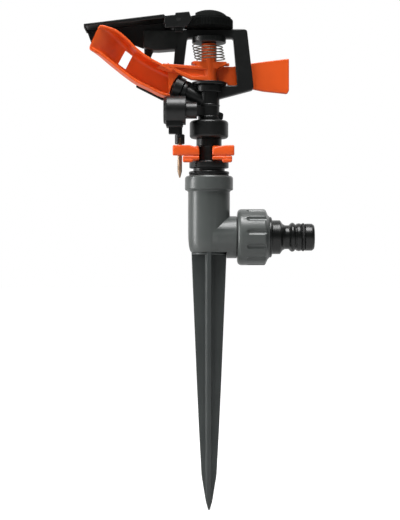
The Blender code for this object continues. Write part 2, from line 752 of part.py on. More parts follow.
def make_clips(upper_axis, lower_axis):
    """The two orange clips that set where the head turns back."""
    inner = NECK_RADIUS + 0.6 * MM
    ear_back = -(TRIP_AHEAD + TRIP_PIN_RADIUS + 0.35 * MM)
    ear_front = ear_back - EAR_THICK
    lower_z = NECK_Z + GAP
    upper_z = lower_z + LOWER_CLIP_HEIGHT + GAP
    lower = slab("lower_trip_clip", [clip_outline(LOWER_EAR_LEFT, LOWER_EAR_RIGHT, inner,
                                                  ear_front, ear_back)],
                 lower_z, lower_z + LOWER_CLIP_HEIGHT, upright=False)
    drop_z = lower_z - LOWER_EAR_DROP
    skirt_left = box("lower_clip_left_skirt", (-LOWER_EAR_LEFT, ear_front, drop_z),
                     (-LOWER_EAR_LEFT + 6 * MM, ear_back, lower_z + 0.5 * MM))
    skirt_right = box("lower_clip_right_skirt", (LOWER_EAR_RIGHT - 6 * MM, ear_front, drop_z),
                      (LOWER_EAR_RIGHT, ear_back, lower_z + 0.5 * MM))
    join(lower, skirt_left, skirt_right)
    upper = slab("upper_trip_clip", [clip_outline(UPPER_EAR_LEFT, UPPER_EAR_RIGHT, inner,
                                                  ear_front, ear_back)],
                 upper_z, upper_z + UPPER_CLIP_HEIGHT, upright=False)
    for thing, axis in ((lower, lower_axis), (upper, upper_axis)):
        hang(thing, axis)
        finish(thing, ORANGE, 0.35)


def make_turning_bearing(axis):
    """The pivot tube that turns with the head, its seal and the spring that lifts it."""
    seal_z = SLEEVE_FOOT - GAP - SEAL_THICK
    flange_top = seal_z - GAP
    top = NOZZLE_Z - NOZZLE_WATERWAY - 1 * MM
    tube = turned("pivot_tube", [
        (TUBE_BORE, top),
        (TUBE_RADIUS, top),
        (TUBE_RADIUS, flange_top),
        (TUBE_FLANGE, flange_top),
        (TUBE_FLANGE, flange_top - TUBE_FLANGE_THICK),
        (TUBE_BORE, flange_top - TUBE_FLANGE_THICK),
    ], SMALL_ROUND, closed=True)
    hang(tube, axis)
    finish(tube, BRASS, 0.3, 1.0)
    seal = ring("pivot_seal", TUBE_RADIUS + GAP, TUBE_FLANGE, seal_z, seal_z + SEAL_THICK)
    hang(seal, axis)
    finish(seal, RUBBER, 0.7)
    inner = TUBE_RADIUS + GAP
    outer = STUB_RADIUS - 0.9 * MM - GAP
    middle = (inner + outer) / 2
    lift = spring("bearing_spring", middle, min(BEARING_SPRING_WIRE, outer - inner),
                  HEAD_FOOT - SPRING_POCKET, HEAD_FOOT - GAP, BEARING_SPRING_TURNS)
    hang(lift, axis)


def along_jet(thing, distance=0.0):
    """Lays a piece's +Z along the jet, from the riser's axis."""
    tilt = math.radians(90.0 - NOZZLE_ANGLE)
    thing.rotation_euler = (0.0, -tilt, 0.0)
    way = Vector((-math.cos(math.radians(NOZZLE_ANGLE)), 0.0, math.sin(math.radians(NOZZLE_ANGLE))))
    thing.location = Vector((0.0, 0.0, NOZZLE_Z)) + way * distance
    return thing


def on_jet(distance, above=0.0):
    """X and Z of a point beside the jet's axis."""
    turn = math.radians(NOZZLE_ANGLE)
    x = -distance * math.cos(turn) + above * math.sin(turn)
    z = NOZZLE_Z + distance * math.sin(turn) + above * math.cos(turn)
    return (x, z)


def frame_outlines():
    """The bridge over the arm: its outer edge and its window."""
    foot = FRAME_HALF_FOOT
    inner_foot = foot - UPRIGHT_WIDTH - 3.5 * MM
    inner_top = BRIDGE_HALF_TOP
    outer_top = inner_top + UPRIGHT_WIDTH + 2.2 * MM
    left_top = inner_top + UPRIGHT_WIDTH - 1.0 * MM
    corner = 1.6 * MM
    outer = [
        (HEAD_TUBE_RADIUS - 0.4 * MM, BAR_TOP - 7.9 * MM),
        (foot - 0.7 * MM, BAR_TOP - BAR_END_DEPTH),
        (foot, BAR_TOP - BAR_END_DEPTH + 1.4 * MM),
        (foot, BAR_TOP),
        (outer_top, FRAME_TOP - corner),
        (outer_top - corner, FRAME_TOP),
        (-left_top + corner, FRAME_TOP),
        (-left_top, FRAME_TOP - corner),
        (-LEFT_FOOT, BAR_TOP + 0.5 * MM),
        on_jet(NOZZLE_LENGTH - 1.6 * MM, 0.5 * MM),
        on_jet(7.0 * MM, -1.0 * MM),
        (-HEAD_TUBE_RADIUS + 0.5 * MM, NOZZLE_Z),
        (HEAD_TUBE_RADIUS - 0.5 * MM, NOZZLE_Z),
    ]
    window = [
        (inner_foot, BAR_TOP),
        (-9.0 * MM, BAR_TOP),
        on_jet(12.0 * MM, NOZZLE_RADIUS - 1.2 * MM),
        on_jet(NOZZLE_LENGTH - 3.6 * MM, NOZZLE_RADIUS - 1.2 * MM),
        (-LEFT_FOOT + UPRIGHT_WIDTH - 0.2 * MM, BAR_TOP + 3.0 * MM),
        (-inner_top + 1.3 * MM, WINDOW_TOP),
        (inner_top, WINDOW_TOP),
    ]
    return [outer, window]


def make_head(axis):
    """The turning body: riser tube, inclined nozzle barrel, bridge, lugs and the trip boss."""
    head = slab("head_body", frame_outlines(), -FRAME_DEPTH / 2, FRAME_DEPTH / 2)
    tube_top = BAR_TOP - 1.5 * MM
    tube = turned("head_tube", [
        (0.0, tube_top),
        (HEAD_TUBE_RADIUS, tube_top - 2 * MM),
        (HEAD_TUBE_RADIUS, HEAD_FOOT),
        (0.0, HEAD_FOOT),
    ], ROUND)
    bar_pad = rod("head_disc_pad", DISC_RADIUS - 2 * MM, BAR_TOP - 4 * MM, BAR_TOP - 0.02 * MM, ROUND)
    mouth_foot = RING_SEAT + RING_LENGTH + GAP
    barrel = along_jet(turned("head_barrel", [
        (0.0, NOZZLE_LENGTH),
        (MOUTH_RADIUS - 0.5 * MM, NOZZLE_LENGTH),
        (MOUTH_RADIUS, NOZZLE_LENGTH - 0.6 * MM),
        (MOUTH_RADIUS, mouth_foot + 0.3 * MM),
        (MOUTH_RADIUS - 0.3 * MM, mouth_foot),
        (NOZZLE_RADIUS, mouth_foot),
        (NOZZLE_RADIUS, 0.0),
        (0.0, 0.0),
    ], 32))
    seat = rod("head_spring_seat", SEAT_BOSS_RADIUS, SEAT_BOSS_Z, WINDOW_TOP + 1 * MM, ROUND)
    lug = slab("head_hinge_lug", [
        [(-HINGE_BACK - LUG_RADIUS, FRAME_TOP - 2 * MM), (-HINGE_BACK + LUG_RADIUS, FRAME_TOP - 2 * MM)]
        + arc((-HINGE_BACK, HINGE_Z), LUG_RADIUS, 0, 180, 10)
    ], -LUG_WIDTH / 2, LUG_WIDTH / 2)
    boss = lay_along_x(rod("head_trip_boss", BOSS_RADIUS, -BOSS_OUT, -BOSS_IN), 0.0, -TRIP_AHEAD, TRIP_Z)
    bracket = slab("head_trip_bracket", [[
        (-BOSS_OUT + 1.2 * MM, -TRIP_AHEAD + 1 * MM),
        (-BOSS_OUT + 1.2 * MM, -TRIP_AHEAD + BOSS_RADIUS + 0.6 * MM),
        (-3.0 * MM, -1.0 * MM),
        (-1.0 * MM, -4.0 * MM),
        (-BOSS_IN - 0.4 * MM, -TRIP_AHEAD - 2 * MM),
    ]], TRIP_Z - 2.8 * MM, TRIP_Z + 2.6 * MM, upright=False)
    stop = slab("head_side_lug", [[
        (HEAD_TUBE_RADIUS - 1 * MM, TRIP_Z - 4.6 * MM),
        (HEAD_TUBE_RADIUS + 2.0 * MM, TRIP_Z - 4.0 * MM),
        (HEAD_TUBE_RADIUS + 2.2 * MM, TRIP_Z - 1.0 * MM),
        (HEAD_TUBE_RADIUS - 1 * MM, TRIP_Z + 0.6 * MM),
    ]], -1.5 * MM, 1.5 * MM)
    join(head, tube, bar_pad, barrel, seat, lug, boss, bracket, stop)

    tube_end = NOZZLE_Z - NOZZLE_WATERWAY
    riser_bore = turned("head_riser_bore", [
        (0.0, NOZZLE_Z + 0.5 * MM),
        (NOZZLE_WATERWAY - 0.1 * MM, NOZZLE_Z + 0.5 * MM),
        (NOZZLE_WATERWAY - 0.1 * MM, tube_end),
        (TUBE_RADIUS + GAP, tube_end),
        (TUBE_RADIUS + GAP, HEAD_FOOT - 1 * MM),
        (0.0, HEAD_FOOT - 1 * MM),
    ], SMALL_ROUND)
    socket_foot = NOZZLE_LENGTH - NOZZLE_SOCKET_DEPTH
    jet_bore = along_jet(turned("head_jet_bore", [
        (0.0, NOZZLE_LENGTH + 1 * MM),
        (NOZZLE_SOCKET, NOZZLE_LENGTH + 1 * MM),
        (NOZZLE_SOCKET, socket_foot),
        (NOZZLE_WATERWAY, socket_foot),
        (NOZZLE_WATERWAY, -0.7 * MM),
        (0.0, -0.7 * MM),
    ], SMALL_ROUND))
    pin_hole = rod("head_pin_hole", PIN_RADIUS + GAP, BAR_TOP - 3 * MM, FRAME_TOP + 1 * MM, 16)
    hinge_hole = lay_along_y(rod("head_hinge_hole", HINGE_PIN + GAP, -LUG_WIDTH, LUG_WIDTH, 16),
                             -HINGE_BACK, 0.0, HINGE_Z)
    shaft_hole = lay_along_x(rod("head_shaft_hole", TRIP_SHAFT + GAP, -BOSS_OUT - 1 * MM,
                                 -BOSS_IN - 1.5 * MM, 16), 0.0, -TRIP_AHEAD, TRIP_Z)
    cut(head, riser_bore, jet_bore, pin_hole, hinge_hole, shaft_hole)
    hang(head, axis)
    finish(head, BLACK, 0.35)

    tip_foot = NOZZLE_LENGTH - NOZZLE_SOCKET_DEPTH + GAP
    tip_top = NOZZLE_LENGTH + 0.2 * MM
    tip = along_jet(turned("nozzle_tip", [
        (NOZZLE_OUTLET + 0.4 * MM, tip_top),
        (NOZZLE_SOCKET - 0.5 * MM, tip_top),
        (NOZZLE_SOCKET - GAP, tip_top - 0.4 * MM),
        (NOZZLE_SOCKET - GAP, tip_foot),
        (NOZZLE_WATERWAY, tip_foot),
        (NOZZLE_OUTLET, tip_top - 2.5 * MM),
        (NOZZLE_OUTLET, tip_top - 0.8 * MM),
    ], SMALL_ROUND, closed=True))
    hang(tip, axis)
    finish(tip, BLACK, 0.3)

    collar_top = RING_SEAT + RING_LENGTH
    collar = along_jet(turned("nozzle_ring", [
        (NOZZLE_RADIUS + GAP, collar_top),
        (RING_RADIUS - 0.4 * MM, collar_top),
        (RING_RADIUS, collar_top - 0.4 * MM),
        (RING_RADIUS, collar_top - RING_LENGTH + 0.4 * MM),
        (RING_RADIUS - 0.4 * MM, collar_top - RING_LENGTH),
        (NOZZLE_RADIUS + GAP, collar_top - RING_LENGTH),
    ], 32, closed=True))
    hang(collar, axis)
    finish(collar, (0.03, 0.032, 0.032), 0.3)

    vane_end = tip_foot - GAP
    half = VANE_THICK / 2
    long = NOZZLE_WATERWAY - GAP
    vanes = box("jet_straightener", (-long, -half, vane_end - VANE_LENGTH), (long, half, vane_end))
    cross = box("jet_straightener_cross", (-half, -long, vane_end - VANE_LENGTH), (half, long, vane_end))
    along_jet(vanes)
    along_jet(cross)
    hang(cross, axis)
    join(hang(vanes, axis), cross)
    finish(vanes, (0.3, 0.3, 0.3), 0.5)


def make_guard(axis):
    """The black plate behind the spoon, on a leg that hangs from a bar beside the bridge."""
    bar_right = -(BRIDGE_HALF_TOP + UPRIGHT_WIDTH + GAP)
    leg_out = -GUARD_REACH
    under = WINDOW_TOP - 6.5 * MM
    bar = slab("splash_guard", [[
        (bar_right, FRAME_TOP - 0.6 * MM),
        (leg_out, FRAME_TOP - 0.6 * MM),
        (leg_out, under + 1.0 * MM),
        (leg_out + 5.6 * MM, under - 0.8 * MM),
        (leg_out + 9.0 * MM, under - 0.9 * MM),
        (bar_right, under),
    ]], -FRAME_DEPTH / 2, GUARD_BACK)
    low = BAR_TOP - 2.8 * MM
    before_mouth = NOZZLE_LENGTH + RUN
    root_top = on_jet(before_mouth, MOUTH_RADIUS)
    leg = slab("splash_guard_leg", [[
        (leg_out + 0.1 * MM, FRAME_TOP - 2 * MM),
        (leg_out, under + 1.8 * MM),
        (leg_out + 0.3 * MM, under - 6.0 * MM),
        (leg_out - 2.4 * MM, under - 16.0 * MM),
        (-44.3 * MM, low + 2.9 * MM),
        (-28.2 * MM, low - 5.2 * MM),
        on_jet(before_mouth, -MOUTH_RADIUS),
        root_top,
        (root_top[0], under - 12.7 * MM),
        (-24.5 * MM, under - 12.7 * MM),
        (-32.6 * MM, under - 13.5 * MM),
        (leg_out + 3.4 * MM, under - 5.6 * MM),
        (leg_out + 5.0 * MM, under - 1.6 * MM),
        (leg_out + 6.4 * MM, under + 1.0 * MM),
        (leg_out + 7.0 * MM, FRAME_TOP - 2 * MM),
    ]], GUARD_BACK - GUARD_PLATE, GUARD_BACK - 0.02 * MM)
    join(bar, leg)
    hang(bar, axis)
    finish(bar, BLACK, 0.35)


def spoon_outline():
    """The spoon seen from the open side: down the lower edge, then back along the upper one."""
    rise = DISC_TOP
    lower = [(-22.0, -8.8), (-27.8, -8.8), (-36.6, -4.8), (-44.0, -1.3), (-50.0, 2.7), (-56.5, 7.7),
             (-64.9, 14.7)]
    end =[(-71.2, 17.9), (-72.4, 21.1), (-65.2, 33.8)]
    upper = [(-56.5, 30.0), (-49.5, 24.9), (-43.6, 19.1), (-36.6, 14.1), (-29.1, 10.2), (-21.7, 6.7)]
    corner = (-ELBOW_X, rise + ELBOW_RISE)
    return [(x * MM, rise + z * MM) for x, z in lower + end + upper] + [corner]


def spoon_channel():
    """The water channel in the spoon, open at its far end and at the nozzle."""
    rise = DISC_TOP
    lower = [(-22.0, -6.8), (-28.0, -6.8), (-37.4, -2.7), (-45.0, 0.9), (-51.3, 5.1), (-58.0, 10.1),
             (-66.0, 16.8), (-76.0, 21.0)]
    upper = [(-74.0, 29.0), (-64.5, 30.9), (-57.4, 27.8), (-50.9, 23.0), (-44.9, 17.2),
             (-37.6, 12.2), (-29.9, 8.2), (-22.6, 4.9), (-15.0, 1.5)]
    return [(x * MM, rise + z * MM) for x, z in lower + upper]


def spoon_slot():
    rise = DISC_TOP
    corners = [(-49.6, 19.2), (-54.1, 10.9), (-49.7, 7.8), (-45.5, 16.1)]
    return [(x * MM, rise + z * MM) for x, z in corners]


def make_arm(axis):
    """The orange arm: hub, spring seat, beam and spoon on one side, paddle on the other."""
    arm = rod("impact_arm", HUB_RADIUS, HUB_Z, SEAT_BOSS_Z - GAP, ROUND)
    seat = rod("arm_spring_seat", SEAT_RADIUS, SEAT_Z, SEAT_TOP, ROUND)
    tab = box("arm_seat_tab", (SEAT_RADIUS - 1 * MM, -1.5 * MM, SEAT_Z + 0.4 * MM),
              (SEAT_RADIUS + 1.4 * MM, 1.5 * MM, SEAT_Z + 2.0 * MM))

    slope_x = -ELBOW_X
    slope_z = DISC_TOP + ELBOW_RISE
    disc_x = -(DISC_RADIUS + 0.5 * MM)
    top_right = SEAT_Z - 0.6 * MM
    top_left = SEAT_Z + 0.6 * MM
    web_left = -29.0 * MM
    web = slab("arm_web", [[
        (-1.0 * MM, top_right),
        (web_left, top_left - 1.0 * MM),
        (-32.0 * MM, DISC_TOP + 8.0 * MM),
        (-27.0 * MM, DISC_TOP + 6.0 * MM),
        (slope_x, slope_z),
        (disc_x, HUB_Z + 0.6 * MM),
        (-1.0 * MM, HUB_Z),
    ]], -BEAM_BACK - WEB_THICK, -BEAM_BACK)
    top_flange = slab("arm_top_flange", [[
        (-1.0 * MM, top_right + 0.02 * MM),
        (web_left + 0.8 * MM, top_left),
        (web_left - 0.6 * MM, top_left - FLANGE_THICK),
        (-1.0 * MM, top_right - FLANGE_THICK),
    ]], -BEAM_FRONT, -BEAM_BACK - 0.02 * MM)
    low_flange = slab("arm_low_flange", [[
        (slope_x - 5.0 * MM, slope_z + 3.6 * MM),
        (slope_x, slope_z + 0.02 * MM),
        (disc_x, HUB_Z + 0.62 * MM),
        (-1.0 * MM, HUB_Z + 0.02 * MM),
        (-1.0 * MM, HUB_Z + 3.2 * MM),
        (disc_x, HUB_Z + 3.0 * MM),
        (slope_x, slope_z + 2.4 * MM),
        (slope_x - 6.0 * MM, slope_z + 6.2 * MM),
    ]], -BEAM_FRONT + 0.02 * MM, -BEAM_BACK - 0.04 * MM)

    right_low = BAR_TOP + RUN
    beam_right = slab("arm_right_beam", [[
        (1.0 * MM, HUB_Z + 0.04 * MM),
        (DISC_RADIUS + 0.5 * MM, HUB_Z + 0.04 * MM),
        (DISC_RADIUS + 1.4 * MM, right_low + 0.2 * MM),
        (26.0 * MM, right_low - 1.6 * MM),
        (34.0 * MM, BAR_TOP - 2.8 * MM),
        (PADDLE_REACH - 2.4 * MM, BAR_TOP - 5.0 * MM),
        (PADDLE_REACH, BAR_TOP - 1.7 * MM),
        (PADDLE_REACH, SEAT_Z + 4.5 * MM),
        (34.0 * MM, SEAT_Z + 2.5 * MM),
        (24.0 * MM, SEAT_Z + 1.3 * MM),
        (SEAT_RADIUS + 4.0 * MM, SEAT_Z + 0.2 * MM),
        (1.0 * MM, SEAT_Z + 0.2 * MM),
    ]], PADDLE_NEAR, PADDLE_NEAR + PADDLE_THICK)

    spoon = slab("arm_spoon", [spoon_outline()], -BEAM_FRONT, SPOON_BACK)
    channel = slab("arm_spoon_channel", [spoon_channel()], -BEAM_FRONT - 1 * MM, SPOON_BACK - SPOON_FLOOR)
    slot = slab("arm_spoon_slot", [spoon_slot()], 0.0, SPOON_BACK + 1 * MM)
    sweep_radius = math.hypot(LEFT_FOOT, FRAME_DEPTH / 2) + RUN
    rim = []
    for turn in np.radians(np.linspace(75.0, 0.0, 6)):
        x, z = on_jet(NOZZLE_LENGTH, -MOUTH_RADIUS * math.cos(turn))
        rim.append((math.hypot(x, MOUTH_RADIUS * math.sin(turn)) + RUN, z))
    sweep = turned("arm_head_room", [
        (0.0, SEAT_Z + 20 * MM),
        (sweep_radius, SEAT_Z + 20 * MM),
        (sweep_radius, on_jet(NOZZLE_LENGTH)[1]),
    ] + rim + [
        (rim[-1][0], DISC_TOP - 12 * MM),
        (0.0, DISC_TOP - 12 * MM),
    ], ROUND)
    for thing in (channel, slot, sweep):
        hang(thing, axis)
    cut(hang(spoon, axis), channel, slot, sweep)
    bore = rod("arm_bore", PIN_RADIUS + GAP, HUB_Z - 1 * MM, SEAT_BOSS_Z + 1 * MM, 16)
    for thing in (seat, tab, web, top_flange, low_flange, beam_right, bore):
        hang(thing, axis)
    join(hang(arm, axis), seat, tab, web, top_flange, low_flange, beam_right, spoon)
    cut(arm, bore)
    finish(arm, ORANGE, 0.35)

    coil = spring("arm_spring", ARM_SPRING_RADIUS, ARM_SPRING_WIRE, SEAT_TOP + GAP,
                  SEAT_BOSS_Z - GAP, ARM_SPRING_TURNS, lead=200.0)
    hang(coil, axis)


def make_arm_pivot(axis):
    disc = turned("thrust_disc", [
        (PIN_RADIUS + GAP, DISC_TOP),
        (DISC_RADIUS - 0.3 * MM, DISC_TOP),
        (DISC_RADIUS, DISC_TOP - 0.3 * MM),
        (DISC_RADIUS, DISC_Z + 0.3 * MM),
        (DISC_RADIUS - 0.3 * MM, DISC_Z),
        (PIN_RADIUS + GAP, DISC_Z),
    ], ROUND, closed=True)
    hang(disc, axis)
    finish(disc, (0.03, 0.032, 0.032), 0.4)
    pin_top = KNOB_Z + KNOB_SOCKET
    pin = rod("arm_pivot_pin", PIN_RADIUS, BAR_TOP - 3 * MM + GAP, pin_top, 16)
    hang(pin, axis)
    finish(pin, STEEL, 0.2, 1.0)


def make_knob(axis):
    """The domed knob on the bridge, with its serrated skirt and one flat as a pointer."""
    skirt = KNOB_RADIUS
    middle = KNOB_SKIRT - 0.3 * MM
    dome = []
    for turn in np.radians(np.linspace(0.0, 72.0, 6)):
        dome.append((KNOB_CAP * math.sin(turn), middle + (KNOB_HEIGHT - middle) * math.cos(turn)))
    outline = dome + [
        (skirt - 1.8 * MM, KNOB_SKIRT + 1.5 * MM),
        (skirt - 1.2 * MM, KNOB_SKIRT + 1.3 * MM),
        (skirt - 1.0 * MM, KNOB_SKIRT + 0.3 * MM),
        (skirt - 0.2 * MM, KNOB_SKIRT + 0.1 * MM),
        (skirt, KNOB_SKIRT - 0.5 * MM),
        (skirt, 0.4 * MM),
        (skirt - 0.4 * MM, 0.0),
        (0.0, 0.0),
    ]
    knob = turned("spring_knob", outline, 40)
    flat = box("knob_flat", (-20 * MM, -20 * MM, KNOB_FLAT_RISE), (-KNOB_FLAT, 20 * MM, 20 * MM))
    bore = rod("knob_bore", PIN_RADIUS + GAP, -1 * MM, KNOB_SOCKET + GAP, 16)
    for thing in (flat, bore):
        hang(thing, axis)
    cut(hang(knob, axis), flat, bore)
    finish(knob, BLACK, 0.45)


def make_deflector(axis):
    """The flap over the jet: roof, far cheek and the two ears that it hinges on."""
    tip_x = HINGE_BACK - ROOF_TIP
    roof = slab("range_deflector", [[
        (tip_x, 0.1 * MM),
        (-ROOF_KNEE, ROOF_KNEE_RISE),
        (-ROOF_NECK, ROOF_NECK_RISE),
        (-ROOF_NECK, ROOF_NECK_RISE - ROOF_THICK * 1.2),
        (-ROOF_KNEE, ROOF_KNEE_RISE - ROOF_THICK),
        (tip_x + 0.2 * MM, 0.1 * MM - ROOF_THICK),
    ]], -ROOF_HALF, ROOF_HALF)
    cheek = slab("deflector_cheek", [[
        (tip_x + 0.1 * MM, 0.0),
        (tip_x + 1.1 * MM, -3.6 * MM),
        (tip_x + 3.6 * MM, -10.2 * MM),
        (tip_x + 7.0 * MM, -12.0 * MM),
        (-31.0 * MM, -10.3 * MM),
        (-22.0 * MM, -13.6 * MM),
        (-6.0 * MM, -13.0 * MM),
        (-4.4 * MM, -3.0 * MM),
        (-ROOF_NECK - 0.2 * MM, ROOF_NECK_RISE - 0.2 * MM),
        (-ROOF_KNEE, ROOF_KNEE_RISE - 0.2 * MM),
    ]], CHEEK_INSIDE, CHEEK_INSIDE + CHEEK_THICK)
    neck = slab("deflector_neck", [[
        (-8.8 * MM, -2.4 * MM),
        (-ROOF_NECK + 0.1 * MM, -2.4 * MM),
        (-ROOF_NECK + 0.1 * MM, ROOF_NECK_RISE - 0.1 * MM),
        (-8.8 * MM, ROOF_KNEE_RISE - 0.1 * MM),
    ]], -EAR_INSIDE - EAR_WIDTH, EAR_INSIDE + EAR_WIDTH)
    ears = []
    for side in (-1, 1):
        near = side * EAR_INSIDE
        far = side * (EAR_INSIDE + EAR_WIDTH - 0.02 * MM)
        ears.append(slab("deflector_ear_" + ("near" if side < 0 else "far"), [[
            (-8.0 * MM, -2.9 * MM),
            (5.0 * MM, -2.9 * MM),
            (6.8 * MM, 0.2 * MM),
            (8.0 * MM, 3.3 * MM),
            (6.8 * MM, 4.2 * MM),
            (6.6 * MM, 7.6 * MM),
            (-2.2 * MM, 6.9 * MM),
            (-8.0 * MM, 5.6 * MM),
        ]], min(near, far), max(near, far)))
    hole = lay_along_y(rod("deflector_pin_hole", HINGE_PIN + GAP, -20 * MM, 20 * MM, 16))
    for thing in [roof, cheek, neck, hole] + ears:
        hang(thing, axis)
    join(roof, cheek, neck, *ears)
    cut(roof, hole)
    finish(roof, BLACK, 0.4)


def make_deflector_pin(axis):
    reach = EAR_INSIDE + EAR_WIDTH + 0.2 * MM
    pin = lay_along_y(rod("deflector_pin", HINGE_PIN, -reach, reach, 16), -HINGE_BACK, 0.0, HINGE_Z)
    hang(pin, axis)
    finish(pin, STEEL, 0.25, 1.0)


def make_trip(axis):
    """The trip lever: its drum, stem and barrel, with the metal pin that meets the clips."""
    low = DRUM_LEFT
    drum = lay_along_x(turned("trip_lever", [
        (0.0, DRUM_RIGHT),
        (DRUM_RADIUS - 0.5 * MM, DRUM_RIGHT),
        (DRUM_RADIUS, DRUM_RIGHT - 0.5 * MM),
        (DRUM_RADIUS, low + 1.0 * MM),
        (DRUM_RADIUS - 0.4 * MM, low + 0.3 * MM),
        (DRUM_RADIUS - 1.2 * MM, low),
        (0.0, low),
    ], ROUND))
    stem_top = -DRUM_RADIUS + 1.2 * MM
    stem = rod("trip_stem", STEM_RADIUS, -STEM_DROP - 0.5 * MM, stem_top, 16)
    knuckle = rod("trip_stem_knuckle", STEM_RADIUS + 0.5 * MM, -DRUM_RADIUS - 1.2 * MM, stem_top, 16)
    barrel_low = -STEM_DROP - BARREL_LENGTH
    socket_top = -STEM_DROP - 1.0 * MM
    barrel = turned("trip_barrel", [
        (0.0, -STEM_DROP),
        (BARREL_RADIUS - 0.5 * MM, -STEM_DROP),
        (BARREL_RADIUS, -STEM_DROP - 0.5 * MM),
        (BARREL_RADIUS, barrel_low + 0.4 * MM),
        (BARREL_RADIUS - 0.4 * MM, barrel_low),
        (TRIP_PIN_RADIUS + GAP, barrel_low),
        (TRIP_PIN_RADIUS + GAP, socket_top),
        (0.0, socket_top),
    ], SMALL_ROUND)
    tab = box("trip_stop_tab", (DRUM_LEFT + 3.3 * MM, -2.2 * MM, -STEM_DROP + 1.0 * MM),
              (-STEM_X - 2.4 * MM, 2.2 * MM, stem_top))
    pocket = lay_along_x(turned("trip_spring_pocket", [
        (2.6 * MM, DRUM_RIGHT + 1 * MM),
        (DRUM_POCKET, DRUM_RIGHT + 1 * MM),
        (DRUM_POCKET, DRUM_RIGHT - DRUM_POCKET_DEPTH),
        (2.6 * MM, DRUM_RIGHT - DRUM_POCKET_DEPTH),
    ], SMALL_ROUND, closed=True))
    shaft_end = DRUM_LEFT + 3.0 * MM
    shaft_hole = lay_along_x(rod("trip_shaft_hole", TRIP_SHAFT + GAP, shaft_end - GAP,
                                 DRUM_RIGHT + 2 * MM, 16))
    for thing in (stem, knuckle, barrel):
        thing.location.x = -STEM_X
    for thing in (stem, knuckle, barrel, tab, pocket, shaft_hole):
        hang(thing, axis)
    join(hang(drum, axis), stem, knuckle, barrel, tab)
    cut(drum, pocket, shaft_hole)
    finish(drum, BLACK, 0.3)

    point = barrel_low - TRIP_PIN_LENGTH
    pin = turned("trip_pin", [
        (0.0, socket_top - GAP),
        (TRIP_PIN_RADIUS, socket_top - GAP),
        (TRIP_PIN_RADIUS, point + 3.9 * MM),
        (0.3 * MM, point + 0.1 * MM),
        (0.0, point),
    ], 16)
    pin.location.x = -STEM_X
    hang(pin, axis)
    finish(pin, BRASS, 0.35, 1.0)

    half = DRUM_POCKET_DEPTH / 2
    coil = spring("trip_spring", TRIP_SPRING_RADIUS, TRIP_SPRING_WIRE, -half + GAP, half - GAP,
                  TRIP_SPRING_TURNS)
    lay_along_x(coil, DRUM_RIGHT - half)
    hang(coil, axis)


def make_trip_shaft(axis):
    """The shaft through the boss that the trip lever turns on."""
    shaft = lay_along_x(rod("trip_shaft", TRIP_SHAFT, DRUM_LEFT + 3.0 * MM, -BOSS_IN - 1.5 * MM - GAP, 16),
                        0.0, -TRIP_AHEAD, TRIP_Z)
    hang(shaft, axis)
    finish(shaft, STEEL, 0.25, 1.0)


def main():
    inlet_axis = empty("inlet_axis", (0.0, 0.0, BRANCH_Z))
    head_axis = empty("head_axis", (0.0, 0.0, 0.0))
    upper_clip_axis = empty("upper_clip_axis", (0.0, 0.0, 0.0))
    lower_clip_axis = empty("lower_clip_axis", (0.0, 0.0, 0.0))
    arm_axis = empty("arm_axis", (0.0, 0.0, 0.0), (0.0, 0.0, math.radians(ARM_YAW)))
    knob_axis = empty("knob_axis", (0.0, 0.0, KNOB_Z))
    deflector_axis = empty("deflector_axis", (-HINGE_BACK, 0.0, HINGE_Z))
    trip_axis = empty("trip_axis", (0.0, -TRIP_AHEAD, TRIP_Z))

    make_spike()
    make_tee()
    make_inlet(inlet_axis)
    make_bearing()
    make_clips(upper_clip_axis, lower_clip_axis)
    make_turning_bearing(head_axis)
    make_head(head_axis)
    make_guard(head_axis)
    make_arm_pivot(head_axis)
    make_arm(arm_axis)
    make_knob(knob_axis)
    make_deflector(deflector_axis)
    make_deflector_pin(head_axis)
    make_trip(trip_axis)
    make_trip_shaft(head_axis)
    print("nodes:", len(PARTS.objects))


main()
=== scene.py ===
# Impulse sprinkler on a ground spike: the finish of every surface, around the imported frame.
# Lengths are in millimetres until a mesh is made, where mm turns them into Blender's metres.

import json
import math
from types import SimpleNamespace

import bmesh
import bpy
from mathutils import Matrix, Vector
from mathutils.geometry import tessellate_polygon


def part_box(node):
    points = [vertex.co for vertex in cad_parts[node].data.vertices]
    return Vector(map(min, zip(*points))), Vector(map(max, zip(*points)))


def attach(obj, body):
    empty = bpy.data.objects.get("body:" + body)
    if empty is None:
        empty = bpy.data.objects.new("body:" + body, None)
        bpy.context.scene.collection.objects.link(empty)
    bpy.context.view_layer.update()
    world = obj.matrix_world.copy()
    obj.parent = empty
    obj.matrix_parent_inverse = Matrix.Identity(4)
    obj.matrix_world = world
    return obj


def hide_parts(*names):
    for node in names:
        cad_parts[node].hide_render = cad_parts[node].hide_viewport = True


mm = 0.001
gap = 0.3  # the room between pieces that touch
slip = 0.05  # the room between pieces that slide on each other

print("loading the frame")
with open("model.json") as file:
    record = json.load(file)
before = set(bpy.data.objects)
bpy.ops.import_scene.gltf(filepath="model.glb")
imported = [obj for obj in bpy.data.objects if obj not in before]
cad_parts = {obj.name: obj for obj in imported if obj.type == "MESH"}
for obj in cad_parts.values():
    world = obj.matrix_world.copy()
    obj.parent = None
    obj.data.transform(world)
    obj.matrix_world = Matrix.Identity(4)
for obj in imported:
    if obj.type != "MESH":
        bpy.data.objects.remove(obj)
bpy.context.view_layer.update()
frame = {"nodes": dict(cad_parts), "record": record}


def boxOf(node):  # a node's box, from its low corner x0, y0, z0 to its high one x1, y1, z1
    low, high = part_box(node)
    return SimpleNamespace(x0=low.x / mm, y0=low.y / mm, z0=low.z / mm,
                           x1=high.x / mm, y1=high.y / mm, z1=high.z / mm)


def facing(way, at=(0.0, 0.0, 0.0)):  # turns +Z to that way and moves it there
    return Matrix.Translation(at) @ Vector(way).to_track_quat("Z", "Y").to_matrix().to_4x4()


def makeObject(name, mesh):
    made = bpy.data.objects.new(name, mesh)
    bpy.context.scene.collection.objects.link(made)
    return made


